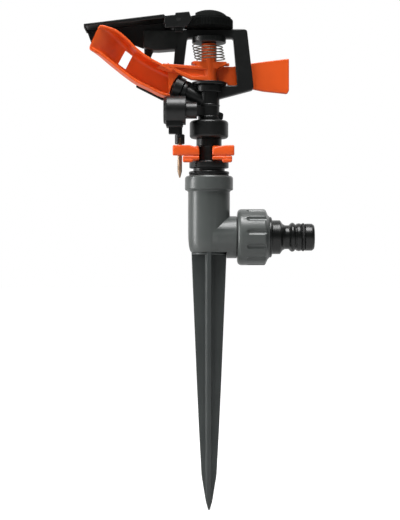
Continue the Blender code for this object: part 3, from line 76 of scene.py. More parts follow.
def smoothOver(mesh, angle):  # smooth faces with sharp edges past the angle
    mesh.shade_smooth()
    mesh.set_sharp_from_angle(angle=math.radians(angle))


def solid(name, points, faces, angle=35.0):  # a closed mesh from corners and faces
    work = bmesh.new()
    corners = [work.verts.new([value * mm for value in point]) for point in points]
    for face in faces:
        work.faces.new([corners[i] for i in face])
    bmesh.ops.remove_doubles(work, verts=work.verts, dist=1e-7)
    bmesh.ops.recalc_face_normals(work, faces=work.faces)
    mesh = bpy.data.meshes.new(name)
    work.to_mesh(mesh)
    work.free()
    smoothOver(mesh, angle)
    return makeObject(name, mesh)


def loft(name, sections):  # a solid through sections that have the same number of corners
    count = len(sections[0])
    points = [point for section in sections for point in section]
    faces = []
    for start in range(0, len(points) - count, count):
        for i in range(count):
            j = (i + 1) % count
            faces.append((start + i, start + j, start + count + j, start + count + i))
    faces += [tuple(range(count)), tuple(range(len(points) - count, len(points)))]
    return solid(name, points, faces)


def softened(points, closed=True, steps=4):  # rounds each corner that has a third number, its radius
    made = []
    count = len(points)
    for i, corner in enumerate(points):
        here = Vector(corner[:2])
        radius = corner[2] if len(corner) > 2 else 0.0
        isEnd = not closed and i in (0, count - 1)
        if radius <= 0.0 or isEnd:
            made.append(here)
            continue
        back = Vector(points[i - 1][:2]) - here
        ahead = Vector(points[(i + 1) % count][:2]) - here
        half = back.angle(ahead) / 2
        run = min(radius / math.tan(half), 0.46 * back.length, 0.46 * ahead.length)
        true = run * math.tan(half)
        middle = here + (back.normalized() + ahead.normalized()).normalized() * true / math.sin(half)
        first = here + back.normalized() * run - middle
        last = here + ahead.normalized() * run - middle
        swing = first.angle_signed(last)
        for step in range(steps + 1):
            turn = -swing * step / steps
            made.append(middle + Matrix.Rotation(turn, 2) @ first)
    return made


def turned(name, outline, steps=96, place=None, closed=True, carve=None, angle=35.0):
    # an outline of (radius, height) turned about +Z, which place then moves
    place = place or Matrix.Identity(4)
    count = len(outline)
    points, faces = [], []
    for i in range(steps):
        turn = math.tau * i / steps
        for radius, height in outline:
            if carve:
                radius = carve(turn, radius, height)
            points.append(place @ Vector((radius * math.cos(turn), radius * math.sin(turn), height)))
    last = count if closed else count - 1
    for i in range(steps):
        j = (i + 1) % steps
        for k in range(last):
            n = (k + 1) % count
            faces.append((i * count + k, j * count + k, j * count + n, i * count + n))
    return solid(name, points, faces, angle)


def lathed(name, corners, steps=96, place=None):  # an open outline of corners, softened and turned
    return turned(name, softened(corners, closed=False), steps, place, closed=False)


def signedArea(points):
    return sum(a[0] * b[1] - b[0] * a[1] for a, b in zip(points, points[1:] + points[:1])) / 2


def inset(points, distance):  # moves an outline to its left by a distance
    made = []
    count = len(points)
    for i, here in enumerate(points):
        before = (here - points[i - 1]).normalized()
        after = (points[(i + 1) % count] - here).normalized()
        first = Vector((-before.y, before.x))
        second = Vector((-after.y, after.x))
        made.append(here + (first + second) * distance / max(0.35, 1.0 + first.dot(second)))
    return made


def slab(name, outlines, near, far, edge=0.35, flat=False, place=None, steps=3):
    # a flat outline with any holes after it, made solid from near to far, with rounded edges
    # outlines are in X and Z and run along Y, or flat ones in X and Y and run along Z
    loops = []
    for number, outline in enumerate(outlines):
        loop = [Vector(p[:2]) for p in softened(outline)]
        if (signedArea(loop) > 0) != (number == 0):
            loop.reverse()
        loops.append(loop)
    edge = min(edge, (far - near) * 0.49)
    layers = []
    for step in range(steps + 1):
        turn = math.pi / 2 * step / steps
        layers.append((edge * (1 - math.sin(turn)), near + edge * (1 - math.cos(turn))))
    layers += [(distance, near + far - depth) for distance, depth in reversed(layers)]
    total = sum(len(loop) for loop in loops)
    points, faces = [], []
    for distance, depth in layers:
        for loop in loops:
            for u, v in inset(loop, distance):
                points.append((u, v, depth) if flat else (u, depth, v))
    for layer in range(len(layers) - 1):
        start = layer * total
        for loop in loops:
            count = len(loop)
            for i in range(count):
                j = (i + 1) % count
                faces.append((start + i, start + j, start + total + j, start + total + i))
            start += count
    caps = tessellate_polygon([[(p.x, p.y, 0.0) for p in inset(loop, layers[0][0])] for loop in loops])
    top = (len(layers) - 1) * total
    for triangle in caps:
        faces.append(tuple(triangle))
        faces.append(tuple(top + i for i in triangle))
    if place:
        points = [place @ Vector(p) for p in points]
    return solid(name, points, faces)


def fused(name, first, joins=(), cuts=(), angle=32.0):  # one solid out of several
    for tool in list(joins) + list(cuts):
        boolean = first.modifiers.new(tool.name, "BOOLEAN")
        boolean.solver = "MANIFOLD"
        boolean.operation = "UNION" if tool in joins else "DIFFERENCE"
        boolean.object = tool
    bpy.context.view_layer.update()
    seen = first.evaluated_get(bpy.context.evaluated_depsgraph_get())
    mesh = bpy.data.meshes.new_from_object(seen)
    mesh.name = name
    for thing in [first] + list(joins) + list(cuts):
        bpy.data.objects.remove(thing)
    smoothOver(mesh, angle)
    made = makeObject(name, mesh)
    weighted = made.modifiers.new("even shading", "WEIGHTED_NORMAL")
    weighted.keep_sharp = True
    return made


def shift(thing, place):  # moves a piece by moving its mesh
    thing.data.transform(place)
    return thing


def rod(name, radius, low, high, edge=0.3, steps=64, place=None):
    return lathed(name, [(0.0, high), (radius, high, edge), (radius, low, edge), (0.0, low)], steps, place)


def ring(name, inner, outer, low, high, edge=0.3, steps=96, place=None):
    outline = [(inner, high, edge), (outer, high, edge), (outer, low, edge), (inner, low, edge)]
    return turned(name, softened(outline), steps, place)


def block(name, low, high):  # a plain box between two corners, only used to cut
    low, high = Vector(low) * mm, Vector(high) * mm
    work = bmesh.new()
    place = Matrix.Translation((high + low) / 2) @ Matrix.Diagonal((*(high - low), 1.0))
    bmesh.ops.create_cube(work, size=1.0, matrix=place)
    mesh = bpy.data.meshes.new(name)
    work.to_mesh(mesh)
    work.free()
    return makeObject(name, mesh)


class Value:  # wraps a socket, so that shader maths reads as sums
    def __init__(self, shader, socket):
        self.shader = shader
        self.socket = socket

    def sum(self, operation, first, second):
        return self.shader.node("ShaderNodeMath", {"operation": operation}, {0: first, 1: second})

    def __add__(self, other):
        return self.sum("ADD", self, other)

    def __radd__(self, other):
        return self.sum("ADD", other, self)

    def __sub__(self, other):
        return self.sum("SUBTRACT", self, other)

    def __rsub__(self, other):
        return self.sum("SUBTRACT", other, self)

    def __mul__(self, other):
        return self.sum("MULTIPLY", self, other)

    def __rmul__(self, other):
        return self.sum("MULTIPLY", other, self)


class Shader:  # one material, built node by node
    def __init__(self, name, owner=None):
        self.owner = owner or bpy.data.materials.new(name)
        self.owner.use_nodes = True
        self.tree = self.owner.node_tree
        self.tree.nodes.clear()

    def node(self, kind, settings=None, inputs=None, out=0):
        made = self.tree.nodes.new(kind)
        for key, value in (settings or {}).items():
            if key == "stops":
                while len(made.color_ramp.elements) < len(value):
                    made.color_ramp.elements.new(0.5)
                for element, (position, colour) in zip(made.color_ramp.elements, value):
                    element.position = position
                    element.color = colour
            else:
                setattr(made, key, value)
        for key, value in (inputs or {}).items():
            self.feed(made.inputs[key], value)
        return Value(self, made.outputs[out]) if made.outputs else None

    def feed(self, socket, value):
        if isinstance(value, Value):
            self.tree.links.new(value.socket, socket)
        else:
            socket.default_value = value

    def noise(self, scale, detail=3.0, rough=0.5, stretch=(1.0, 1.0, 1.0)):
        place = self.node("ShaderNodeTexCoord", out=3)
        spread = self.node("ShaderNodeVectorMath", {"operation": "MULTIPLY"}, {0: place, 1: stretch})
        wanted = {"Vector": spread, "Scale": scale, "Detail": detail, "Roughness": rough}
        return self.node("ShaderNodeTexNoise", {}, wanted)

    def ramp(self, value, low, high):  # 0 below low, 1 above high, smooth between
        wanted = {"Value": value, "From Min": low, "From Max": high}
        return self.node("ShaderNodeMapRange", {"interpolation_type": "SMOOTHSTEP"}, wanted)

    def mix(self, factor, first, second):
        return self.node("ShaderNodeMix", {"data_type": "RGBA"}, {0: factor, 6: first, 7: second}, out=2)


def tint(colour, share):  # a colour times a share, with its alpha
    return tuple(min(1.0, c * share) for c in colour) + (1.0,)


def moulded(name, look):
    # moulded plastic: slow tone drift, fine pits, flow streaks, edges lightened partly as rubbing and partly
    # as a painted highlight, and handling scuffs
    shader = Shader(name)
    colour = look["colour"]
    drift = shader.ramp(shader.noise(look["drift"], 2.0), 0.3, 0.7)
    pits = shader.noise(look["grain"], 2.0, 0.6)
    streaks = shader.noise(look["flow"], 3.0, 0.55, look["flowStretch"])
    shape = shader.node("ShaderNodeNewGeometry", out=7)
    # sharp edges are lightened towards a paler colour: partly rubbing, partly a painted highlight where edges
    # catch the light
    edgeRubAndSheen = shader.ramp(shape, 0.52, 0.6) * shader.ramp(shader.noise(look["drift"] * 6, 3.0), 0.35, 0.65)
    body = shader.mix(drift, tint(colour, 1 - look["vary"]), tint(colour, 1 + look["vary"]))
    body = shader.mix(shader.ramp(streaks, 0.45, 0.75) * look["flowTone"], body, tint(colour, 1.35))
    body = shader.mix(edgeRubAndSheen * look["edgeRubAndSheenShare"], body, look["edgeRubAndSheenColour"] + (1.0,))
    scuffs = shader.ramp(shader.noise(look["scuff"], 4.0, 0.7, (1.0, 1.0, 0.35)), 0.5, 0.78)
    rough = look["rough"] + (scuffs * look["scuffRough"] + (pits - 0.5) * 0.12)
    bump = shader.node("ShaderNodeBump", {}, {
        "Strength": look["bump"], "Distance": 0.04 * mm, "Height": pits * 0.7 + streaks * 0.5 + scuffs * 0.2})
    surface = shader.node("ShaderNodeBsdfPrincipled", {}, {
        "Base Color": body, "Roughness": rough, "Normal": bump, "IOR": 1.47,
        "Specular IOR Level": look.get("gloss", 0.5), "Coat Weight": look.get("coat", 0.0),
        "Coat Roughness": 0.12})
    shader.node("ShaderNodeOutputMaterial", {}, {"Surface": surface})
    return shader.owner


def metal(name, look):
    # drawn or turned metal: fine lengthwise marks and dull patches
    shader = Shader(name)
    marks = shader.noise(look["marks"], 3.0, 0.6, look["markStretch"])
    dull = shader.ramp(shader.noise(look["patch"], 3.0), 0.4, 0.7)
    body = shader.mix(dull * look["dull"], tint(look["colour"], 1.0), tint(look["dullColour"], 1.0))
    rough = look["rough"] + (marks * 0.12 + dull * look["dullRough"])
    bump = shader.node("ShaderNodeBump", {}, {"Strength": 0.25, "Distance": 0.02 * mm, "Height": marks})
    surface = shader.node("ShaderNodeBsdfPrincipled", {}, {
        "Base Color": body, "Metallic": look["metallic"], "Roughness": rough, "Normal": bump})
    shader.node("ShaderNodeOutputMaterial", {}, {"Surface": surface})
    return shader.owner


print("materials")
plastic = {  # what every moulding shares; each colour below changes some of it
    "drift": 45.0, "vary": 0.07, "grain": 2600.0, "flow": 260.0, "flowStretch": (1.0, 1.0, 0.15),
    # the edge share and edge colour below lighten sharp edges, which is partly rubbing and partly a painted
    # highlight
    "flowTone": 0.18, "edgeRubAndSheenShare": 0.35, "edgeRubAndSheenColour": (0.12, 0.125, 0.12), "scuff": 420.0,
    "scuffRough": 0.16, "bump": 0.35, "rough": 0.34,
}
blackLook = dict(plastic, colour=(0.004, 0.0046, 0.0044), rough=0.37, edgeRubAndSheenColour=(0.03, 0.032, 0.031))
looks = {  # each slot with its material's name and look
    "black_plastic": ("black moulding", blackLook),
    "gloss_black_plastic": ("gloss black moulding", dict(blackLook, rough=0.31, bump=0.15, scuffRough=0.1)),
    "grey_plastic": ("grey moulding", dict(
        plastic, colour=(0.073, 0.08, 0.077), rough=0.32, edgeRubAndSheenColour=(0.17, 0.18, 0.175))),
    # the spike's grey is the tee's plastic made darker: painted shade for its side-facing fins
    "spike_plastic": ("spike grey with painted shade", dict(
        plastic, colour=(0.04, 0.046, 0.045), rough=0.42, grain=1900.0, bump=0.45,
        edgeRubAndSheenColour=(0.1, 0.107, 0.104))),
    "orange_plastic": ("orange moulding", dict(
        plastic, colour=(0.8, 0.098, 0.012), rough=0.34, vary=0.05, flowTone=0.1, edgeRubAndSheenShare=0.2,
        edgeRubAndSheenColour=(0.84, 0.16, 0.04))),
    "rubber": ("black rubber", dict(
        plastic, colour=(0.008, 0.008, 0.008), rough=0.6, edgeRubAndSheenShare=0.1, grain=3200.0)),
    "natural_plastic": ("natural moulding", dict(plastic, colour=(0.35, 0.35, 0.33), rough=0.45)),
}
slotMaterials = {slot: moulded(name, look) for slot, (name, look) in looks.items()}
dullBlack = moulded("dull black moulding", dict(
    blackLook, colour=(0.004, 0.0045, 0.0043), rough=0.75, gloss=0.05, edgeRubAndSheenShare=0.1))
wire = {
    "colour": (0.2, 0.18, 0.14), "dullColour": (0.11, 0.1, 0.08), "marks": 900.0, "patch": 300.0,
    "markStretch": (1.0, 1.0, 1.0), "dull": 0.6, "rough": 0.32, "dullRough": 0.18, "metallic": 1.0,
}
slotMaterials["spring_steel"] = metal("spring wire", wire)
darkPin = metal("blackened pin", dict(
    wire, colour=(0.03, 0.03, 0.03), dullColour=(0.02, 0.02, 0.02), rough=0.4, metallic=0.6))
slotMaterials["brass"] = metal("tan pin metal", {
    "colour": (0.4, 0.27, 0.18), "dullColour": (0.22, 0.14, 0.09), "marks": 1500.0, "patch": 260.0,
    "markStretch": (1.0, 1.0, 0.08), "dull": 0.7, "rough": 0.32, "dullRough": 0.2, "metallic": 0.75})


def dress(thing, body, slotName, *nodes, finish=None):
    # finishes a piece: the material of its slot, its body, and hides the nodes it stands for
    thing.data.materials.clear()
    thing.data.materials.append(finish or slotMaterials[slotName])
    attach(thing, body)
    if nodes:
        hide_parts(*nodes)


print("spike")
spike = {  # widths across the fins at each height, and the section's own sizes
    "heights": [3.66, -20, -73.1, -104, -130, -146, -149, -150.6],
    "widths": [21.1, 19.2, 14.8, 11.9, 9.1, 3.8, 2, 0.9],
    "fin": 2.8, "finEdge": 0.5, "root": 1.3, "spigot": 7, "discLow": 2.2, "discEdge": 0.4, "rings": 64,
}


def between(value, places, values):  # straight-line interpolation, places rising or falling
    pairs = sorted(zip(places, values))
    if value <= pairs[0][0]:
        return pairs[0][1]
    for (a, first), (b, second) in zip(pairs, pairs[1:]):
        if value <= b:
            return first + (second - first) * (value - a) / (b - a)
    return pairs[-1][1]


def crossSection(width, fin):  # a plus sign with rounded fin ends and filled roots
    reach, half = width / 2, fin / 2
    edge = min(spike["finEdge"], half * 0.8)
    root = min(spike["root"], (reach - half) * 0.45)
    outline = []
    for quarter in range(4):
        turn = Matrix.Rotation(math.pi / 2 * quarter, 2)
        for u, v, radius in ((reach, -half, edge), (reach, half, edge), (half, half, root)):
            point = turn @ Vector((u, v))
            outline.append((point.x, point.y, radius))
    return softened(outline)


def makeSpike():
    s, box = SimpleNamespace(**spike), boxOf("spike")
    top = s.heights[0]  # just under the tee's foot
    sections = []
    for i in range(s.rings + 1):
        z = box.z0 + (top - box.z0) * (i / s.rings)
        width = between(z, s.heights, s.widths)
        fin = min(s.fin, width * 0.62)
        sections.append([(p.x, p.y, z) for p in crossSection(width, fin)])
    blade = loft("spike_blade", sections)
    radius = s.widths[0] / 2 - gap
    head = lathed("spike_head", [
        (0, box.z1), (s.spigot, box.z1), (s.spigot, top), (radius, top, s.discEdge),
        (radius, s.discLow, s.discEdge), (0, s.discLow)])
    dress(fused("ground_spike_moulding", blade, [head]), "base", "spike_plastic", "spike")


makeSpike()

print("tee")
tee = {
    "radius": 12.55, "footRadius": 10.5, "bowl": 11.1, "wall": 3, "collarHeight": 8.6, "collarEdge": 1.3,
    "collarLow": 1.5, "branchZ": 12.7, "branchRadius": 12.65, "branchReach": 16.6, "bore": 5,
    "neck": 8, "bead": 9, "foot": 3.7, "socket": 7.3, "thread": 10.5, "rim": 0.9,
}


def makeTee():
    s, box = SimpleNamespace(**tee), boxOf("tee_body")
    collar = box.y1
    collarLow = box.z1 - s.collarHeight
    bowl = []
    for step in range(9):  # the foot curves in like a bowl
        turn = math.pi / 2 * step / 8
        radius = s.footRadius + (s.radius - s.footRadius) * math.sin(turn)
        bowl.append((radius, s.foot + s.bowl * (1 - math.cos(turn))))
    post = lathed("tee_post", [
        (0, box.z1), (collar - s.rim, box.z1, 0.3), (collar, box.z1 - s.rim, s.collarEdge),
        (collar, collarLow + 0.3, s.collarLow), (s.radius + 0.5, collarLow, 0.4),
        (s.radius, collarLow - 0.9)] + bowl[::-1] + [(0, s.foot)])
    along = facing((1, 0, 0), (0, 0, s.branchZ))
    branch = lathed("tee_branch", [
        (0, s.branchReach), (s.branchRadius, s.branchReach, 0.5), (s.branchRadius, 2), (0, 2)], place=along)
    beadStart = boxOf("inlet_nut").x0 + 3.8
    neck = lathed("tee_neck", [
        (0, box.x1), (s.neck, box.x1, 0.3), (s.bead, box.x1 - 1.5, 0.4), (s.bead, beadStart, 0.2),
        (s.neck, beadStart), (s.neck, s.branchReach - 1), (0, s.branchReach - 1)], place=along)
    spikeReach = boxOf("spike").x1 + slip
    below = block("tee_below", (-20, -20, -20), (spikeReach, 20, s.foot))
    water = s.radius - s.wall
    shoulder = boxOf("bearing_sleeve").z0 - 1.5
    floor = s.branchZ - s.bore - 0.4
    riser = lathed("tee_riser", [
        (0, box.z1 + 1), (s.thread, box.z1 + 1), (s.thread, shoulder), (water, shoulder - 1),
        (water, floor + 4), (water - 3, floor), (0, floor)])
    side = rod("tee_side", s.bore, 0, box.x1 + 1, place=along)
    socket = rod("tee_socket", s.socket, s.foot - 1, boxOf("spike").z1 + gap)
    made = fused("tee_moulding", post, [branch, neck], [below, riser, side, socket], angle=28)
    dress(made, "base", "grey_plastic", "tee_body")


makeTee()

print("hose inlet")
nut = {
    "flutes": 12, "fluteRadius": 1.9, "fluteOut": 0.86, "fluteStart": 5.2, "fluteOffset": 0.67,
    "leftEdge": 3.2, "rightChamfer": 2.8, "cavity": 10.8, "wall": 3.2, "soften": 0.22,
}


def makeNut():
    s, box = SimpleNamespace(**nut), boxOf("inlet_nut")
    radius, length = box.y1, box.x1 - box.x0
    centre = radius + s.fluteOut
    outline = softened([
        (radius - 4.2, length, 0.3), (radius - 3.6, length - 0.8, 0.3),
        (radius - 0.6, length - 2.2, 0.8), (radius, length - s.rightChamfer, 0.6),
        (radius, length - 5), (radius, length - 9)]
        + [(radius, s.fluteStart + step) for step in (3, 2.4, 1.9, 1.5, 1.1, 0.8, 0.5, 0.3, 0)]
        + [(radius, 0, s.leftEdge), (8.3, 0, 0.3), (8.3, s.wall),
           (s.cavity, s.wall), (s.cavity, length, 0.3)], steps=6)

    def carve(turn, r, x):  # cuts each flute with a round-ended tool
        if r < radius - 4.3 or x < s.fluteStart:
            return r
        pitch = math.tau / s.flutes
        off = (turn - s.fluteOffset * pitch + pitch / 2) % pitch - pitch / 2
        tool = s.fluteRadius
        start = s.fluteStart + tool
        if x < start:
            tool = math.sqrt(max(0, tool ** 2 - (start - x) ** 2))
        side = centre * math.sin(off)
        if abs(side) >= tool:
            return r
        cut = centre * math.cos(off) - math.sqrt(tool ** 2 - side ** 2)
        soft = s.soften
        blend = max(0, soft - abs(r - cut)) / soft
        return min(r, cut) - blend * blend * soft / 4

    along = facing((1, 0, 0), (box.x0, 0, (box.z0 + box.z1) / 2))
    made = turned("union_nut", outline, 288, along, carve=carve, angle=50)
    dress(made, "inlet", "grey_plastic", "inlet_nut")


makeNut()

nipple = {
    "flange": 12.2, "flangeThick": 1.2, "body": 10.15, "bodyLength": 5, "neck": 7.15, "land": 8.1,
    "ring": 8.7, "bore": 5.2, "thread": 10.4, "wire": 2, "proud": 0.35, "grooveFromEnd": 5.4,
}


def makeNipple():
    s = SimpleNamespace(**nipple)
    end = boxOf("inlet_nipple").x1
    flangeX = boxOf("inlet_nut").x1 + gap
    threadX = boxOf("inlet_nipple").x0
    axisZ = tee["branchZ"]
    groove = end - s.grooveFromEnd
    slot = groove - s.wire - 0.4
    deep = s.land + s.proud - s.wire - gap
    body = flangeX + s.flangeThick + s.bodyLength
    land, ringRadius, neck = s.land, s.ring, s.neck
    outline = softened([
        (s.bore, end, 0.3), (land - 1.1, end, 0.5), (land, end - 1.3, 1.2),
        (land, groove, 0.25), (deep, groove), (deep, slot), (land, slot, 0.25),
        (land + 0.25, slot - 1.4, 1.5), (land, slot - 2.6, 0.6),
        (land - 0.7, slot - 3.4, 0.6), (ringRadius - 0.4, slot - 4.1, 0.5),
        (ringRadius, slot - 4.9, 0.7), (ringRadius, slot - 5.7, 0.6),
        (ringRadius - 0.7, slot - 6.7, 0.5), (neck, slot - 7.3, 0.6),
        (neck, body + 2.9, 1.6), (neck + 0.9, body + 1.5, 0.5),
        (s.body, body, 0.5), (s.body, flangeX + s.flangeThick + 0.2, 0.3),
        (s.flange - 0.5, flangeX + s.flangeThick, 0.4),
        (s.flange, flangeX + s.flangeThick * 0.5, 0.3), (s.flange, flangeX),
        (s.thread, flangeX), (s.thread, threadX, 0.3), (s.bore, threadX)])
    along = facing((1, 0, 0), (0, 0, axisZ))
    dress(turned("hose_nipple", outline, 112, along), "inlet", "gloss_black_plastic", "inlet_nipple")
    half = s.wire / 2
    middle = s.land + s.proud - half
    section = [(middle + half * math.cos(math.tau * i / 20), half * math.sin(math.tau * i / 20))
               for i in range(20)]
    along = facing((1, 0, 0), ((groove + slot) / 2, 0, axisZ))
    dress(turned("nipple_seal", section, 96, along, angle=60), "inlet", "rubber", "nipple_o_ring")


makeNipple()

print("bearing")
bearing = {
    "lowerFlange": 12.1, "lowerThick": 1.4, "groove": 9.45, "grooveHeight": 2.1, "upperFlange": 11.8,
    "upperThick": 3.8, "neck": 7.6, "neckHeight": 13.7, "lip": 0.35, "stub": 6.5, "thread": 10.2,
    "bore": 4.6, "hoodEdge": 1.9, "hoodFoot": 1.7, "hoodHole": 6.6,
}


def makeBearing():
    s = SimpleNamespace(**bearing)
    box = boxOf("base_gasket")
    gasket = ring("seat_gasket", s.thread + gap, box.x1, box.z0, box.z1, 0.2)
    dress(gasket, "base", "rubber", "base_gasket")
    foot, top = boxOf("bearing_sleeve").z0, boxOf("bearing_sleeve").z1
    flange = box.z1 + gap
    groove = flange + s.lowerThick
    upper = groove + s.grooveHeight
    neckLow = upper + s.upperThick
    neckTop = neckLow + s.neckHeight
    neck, stub = s.neck, s.stub
    pocket = stub - 0.9
    pocketFloor = boxOf("bearing_spring").z0 - gap
    sleeve = turned("bearing_barrel", softened([
        (pocket, top), (stub, top, 0.2), (stub, neckTop), (neck, neckTop, 0.3), (neck, neckTop - 4.1, 0.2),
        (neck + s.lip, neckTop - 4.5, 0.2), (neck + s.lip, neckTop - 5, 0.2), (neck, neckTop - 5.4, 0.2),
        (neck, neckLow, 0.6), (s.upperFlange, neckLow, 0.7), (s.upperFlange, upper, 0.5),
        (s.groove, upper, 0.3), (s.groove, groove, 0.3), (s.lowerFlange, groove, 0.5),
        (s.lowerFlange, flange, 0.2), (s.thread, flange), (s.thread, foot), (s.bore, foot),
        (s.bore, pocketFloor), (pocket, pocketFloor)]))
    dress(sleeve, "base", "black_plastic", "bearing_sleeve")
    box = boxOf("bearing_hood")
    hood = turned("bearing_cap", softened([
        (s.hoodHole, box.z1, 0.2), (box.x1, box.z1, s.hoodEdge), (box.x1, box.z0, s.hoodFoot),
        (stub + gap, box.z0, 0.2), (stub + gap, box.z1 - 2), (s.hoodHole, box.z1 - 2)], steps=7))
    dress(hood, "base", "black_plastic", "bearing_hood")


makeBearing()

print("trip clips")
clip = {
    "band": 2, "inner": 8.2, "gapLeft": 5.8, "gapRight": 1.9, "web": 1.9, "bend": 2.3, "edge": 0.9,
    "leftSlope": 2.5, "rightSlope": 1.7, "blend": 2.5, "skirt": 6, "skirtEdge": 1.6,
}


def arcPoints(radius, start, end, steps):
    turns = [math.radians(start + (end - start) * i / steps) for i in range(steps + 1)]
    return [(radius * math.cos(turn), radius * math.sin(turn)) for turn in turns]


def spaced(start, end, y):  # the points between two corners of a straight edge
    return [(start + (end - start) * i / 8, y) for i in range(1, 8)]


def clipOutline(left, right, front, back):  # an open ring whose ends step forward into ears
    s = SimpleNamespace(**clip)
    outer = s.inner + s.band
    innerLeft, innerRight, outerRight, outerLeft = [math.degrees(math.asin(share)) for share in (
        s.gapLeft / s.inner, s.gapRight / s.inner, (s.gapRight + s.web) / outer, (s.gapLeft + s.web) / outer)]
    return (arcPoints(s.inner, -90 - innerLeft, -450 + innerRight, 60)
            + [(s.gapRight, front, s.bend)] + spaced(s.gapRight, right, front)
            + [(right, front, s.edge), (right, back, s.edge)] + spaced(right, s.gapRight + s.web, back)
            + [(s.gapRight + s.web, back, 0.6)]
            + arcPoints(outer, -90 + outerRight, 270 - outerLeft, 60)
            + [(-s.gapLeft - s.web, back, 0.6)] + spaced(-s.gapLeft - s.web, -left, back)
            + [(-left, back, s.edge), (-left, front, s.edge)] + spaced(-left, -s.gapLeft, front)
            + [(-s.gapLeft, front, s.bend)])


def makeClip(name, node, body, topSlope, skirt):
    s, box = SimpleNamespace(**clip), boxOf(node)
    earBack = box.y0 + 2.2
    low = box.z0 + skirt - (0 if skirt else gap - slip)  # the upper clip slides on the lower
    made = slab(name, [clipOutline(-box.x0, box.x1, box.y0, earBack)], low, box.z1, s.edge, flat=True)
    for corner in made.data.vertices:  # the ears' tops fall towards the ring
        x, y, z = corner.co / mm
        if y < earBack + s.blend and z > (low + box.z1) / 2:
            start, end, slope = box.x1 * 0.75, s.gapRight, s.rightSlope
            if x < 0:
                start, end, slope = box.x0 * 0.55, -s.gapLeft, s.leftSlope
            share = min(1, max(0, (x - start) / (end - start)))
            inner = min(1, (earBack + s.blend - y) / s.blend)
            corner.co.z -= slope * topSlope * share ** 1.5 * inner * mm
    if skirt:
        skirts = []
        for side, start in (("left", box.x0), ("right", box.x1 - s.skirt)):
            end = start + s.skirt
            skirts.append(slab(name + "_" + side, [[
                (start, box.z0, s.skirtEdge), (end, box.z0, s.skirtEdge), (end, low + 0.8),
                (start, low + 0.8)]], box.y0 + 0.02, earBack - 0.02, s.edge * 0.8))
        made = fused(name, made, skirts)
    dress(made, body, "orange_plastic", node)


makeClip("upper_clip_spring", "upper_trip_clip", "upper_clip", 1, 0)
makeClip("lower_clip_spring", "lower_trip_clip", "lower_clip", 0, 1.6)

print("head")
head = {
    "depth": 6.4, "halfFoot": 26.6, "leftFoot": 22.2, "halfTop": 14.4, "upright": 6.2, "barEnd": 2.6,
    "barRise": 20.9, "window": 28.3, "topBar": 5.5, "tube": 6.3, "edge": 0.7, "seatBoss": 10.2,
    "seatHeight": 2.7, "nozzleRise": 10.5, "nozzleLength": 23.3, "nozzle": 5.1, "waterway": 3.2,
    "socket": 3.9, "socketDepth": 10.5, "hingeBack": 18, "hingeRise": 3.6, "lug": 2.4, "lugWidth": 10,
    "tripAhead": 10, "tripRise": 5.1, "boss": 4.9, "bossOut": 13.8, "bossIn": 7.2, "pin": 1.6,
    "mouth": 7.4, "ringSeat": 15.2, "ringLength": 2.6, "ring": 6.4, "run": 0.6,
    "axleHole": 1.5, "turning": 4.6, "outlet": 1.9,
}
nozzleAngle = math.radians(25)
headSizes = SimpleNamespace(**head)
hoodTop = boxOf("bearing_hood").z1
barTop = hoodTop + headSizes.barRise
windowTop = barTop + headSizes.window
frameTop = windowTop + headSizes.topBar
nozzleZ = hoodTop + headSizes.nozzleRise
tripZ = hoodTop + headSizes.tripRise
hingeZ = frameTop + headSizes.hingeRise
jetPlace = facing((-math.cos(nozzleAngle), 0, math.sin(nozzleAngle)), (0, 0, nozzleZ))
tripPlace = facing((1, 0, 0), (0, -headSizes.tripAhead, tripZ))


def onJet(distance, above, radius=0):  # a point of an outline, beside the jet's axis
    x = -distance * math.cos(nozzleAngle) + above * math.sin(nozzleAngle)
    z = nozzleZ + distance * math.sin(nozzleAngle) + above * math.cos(nozzleAngle)
    return (x, z, radius)


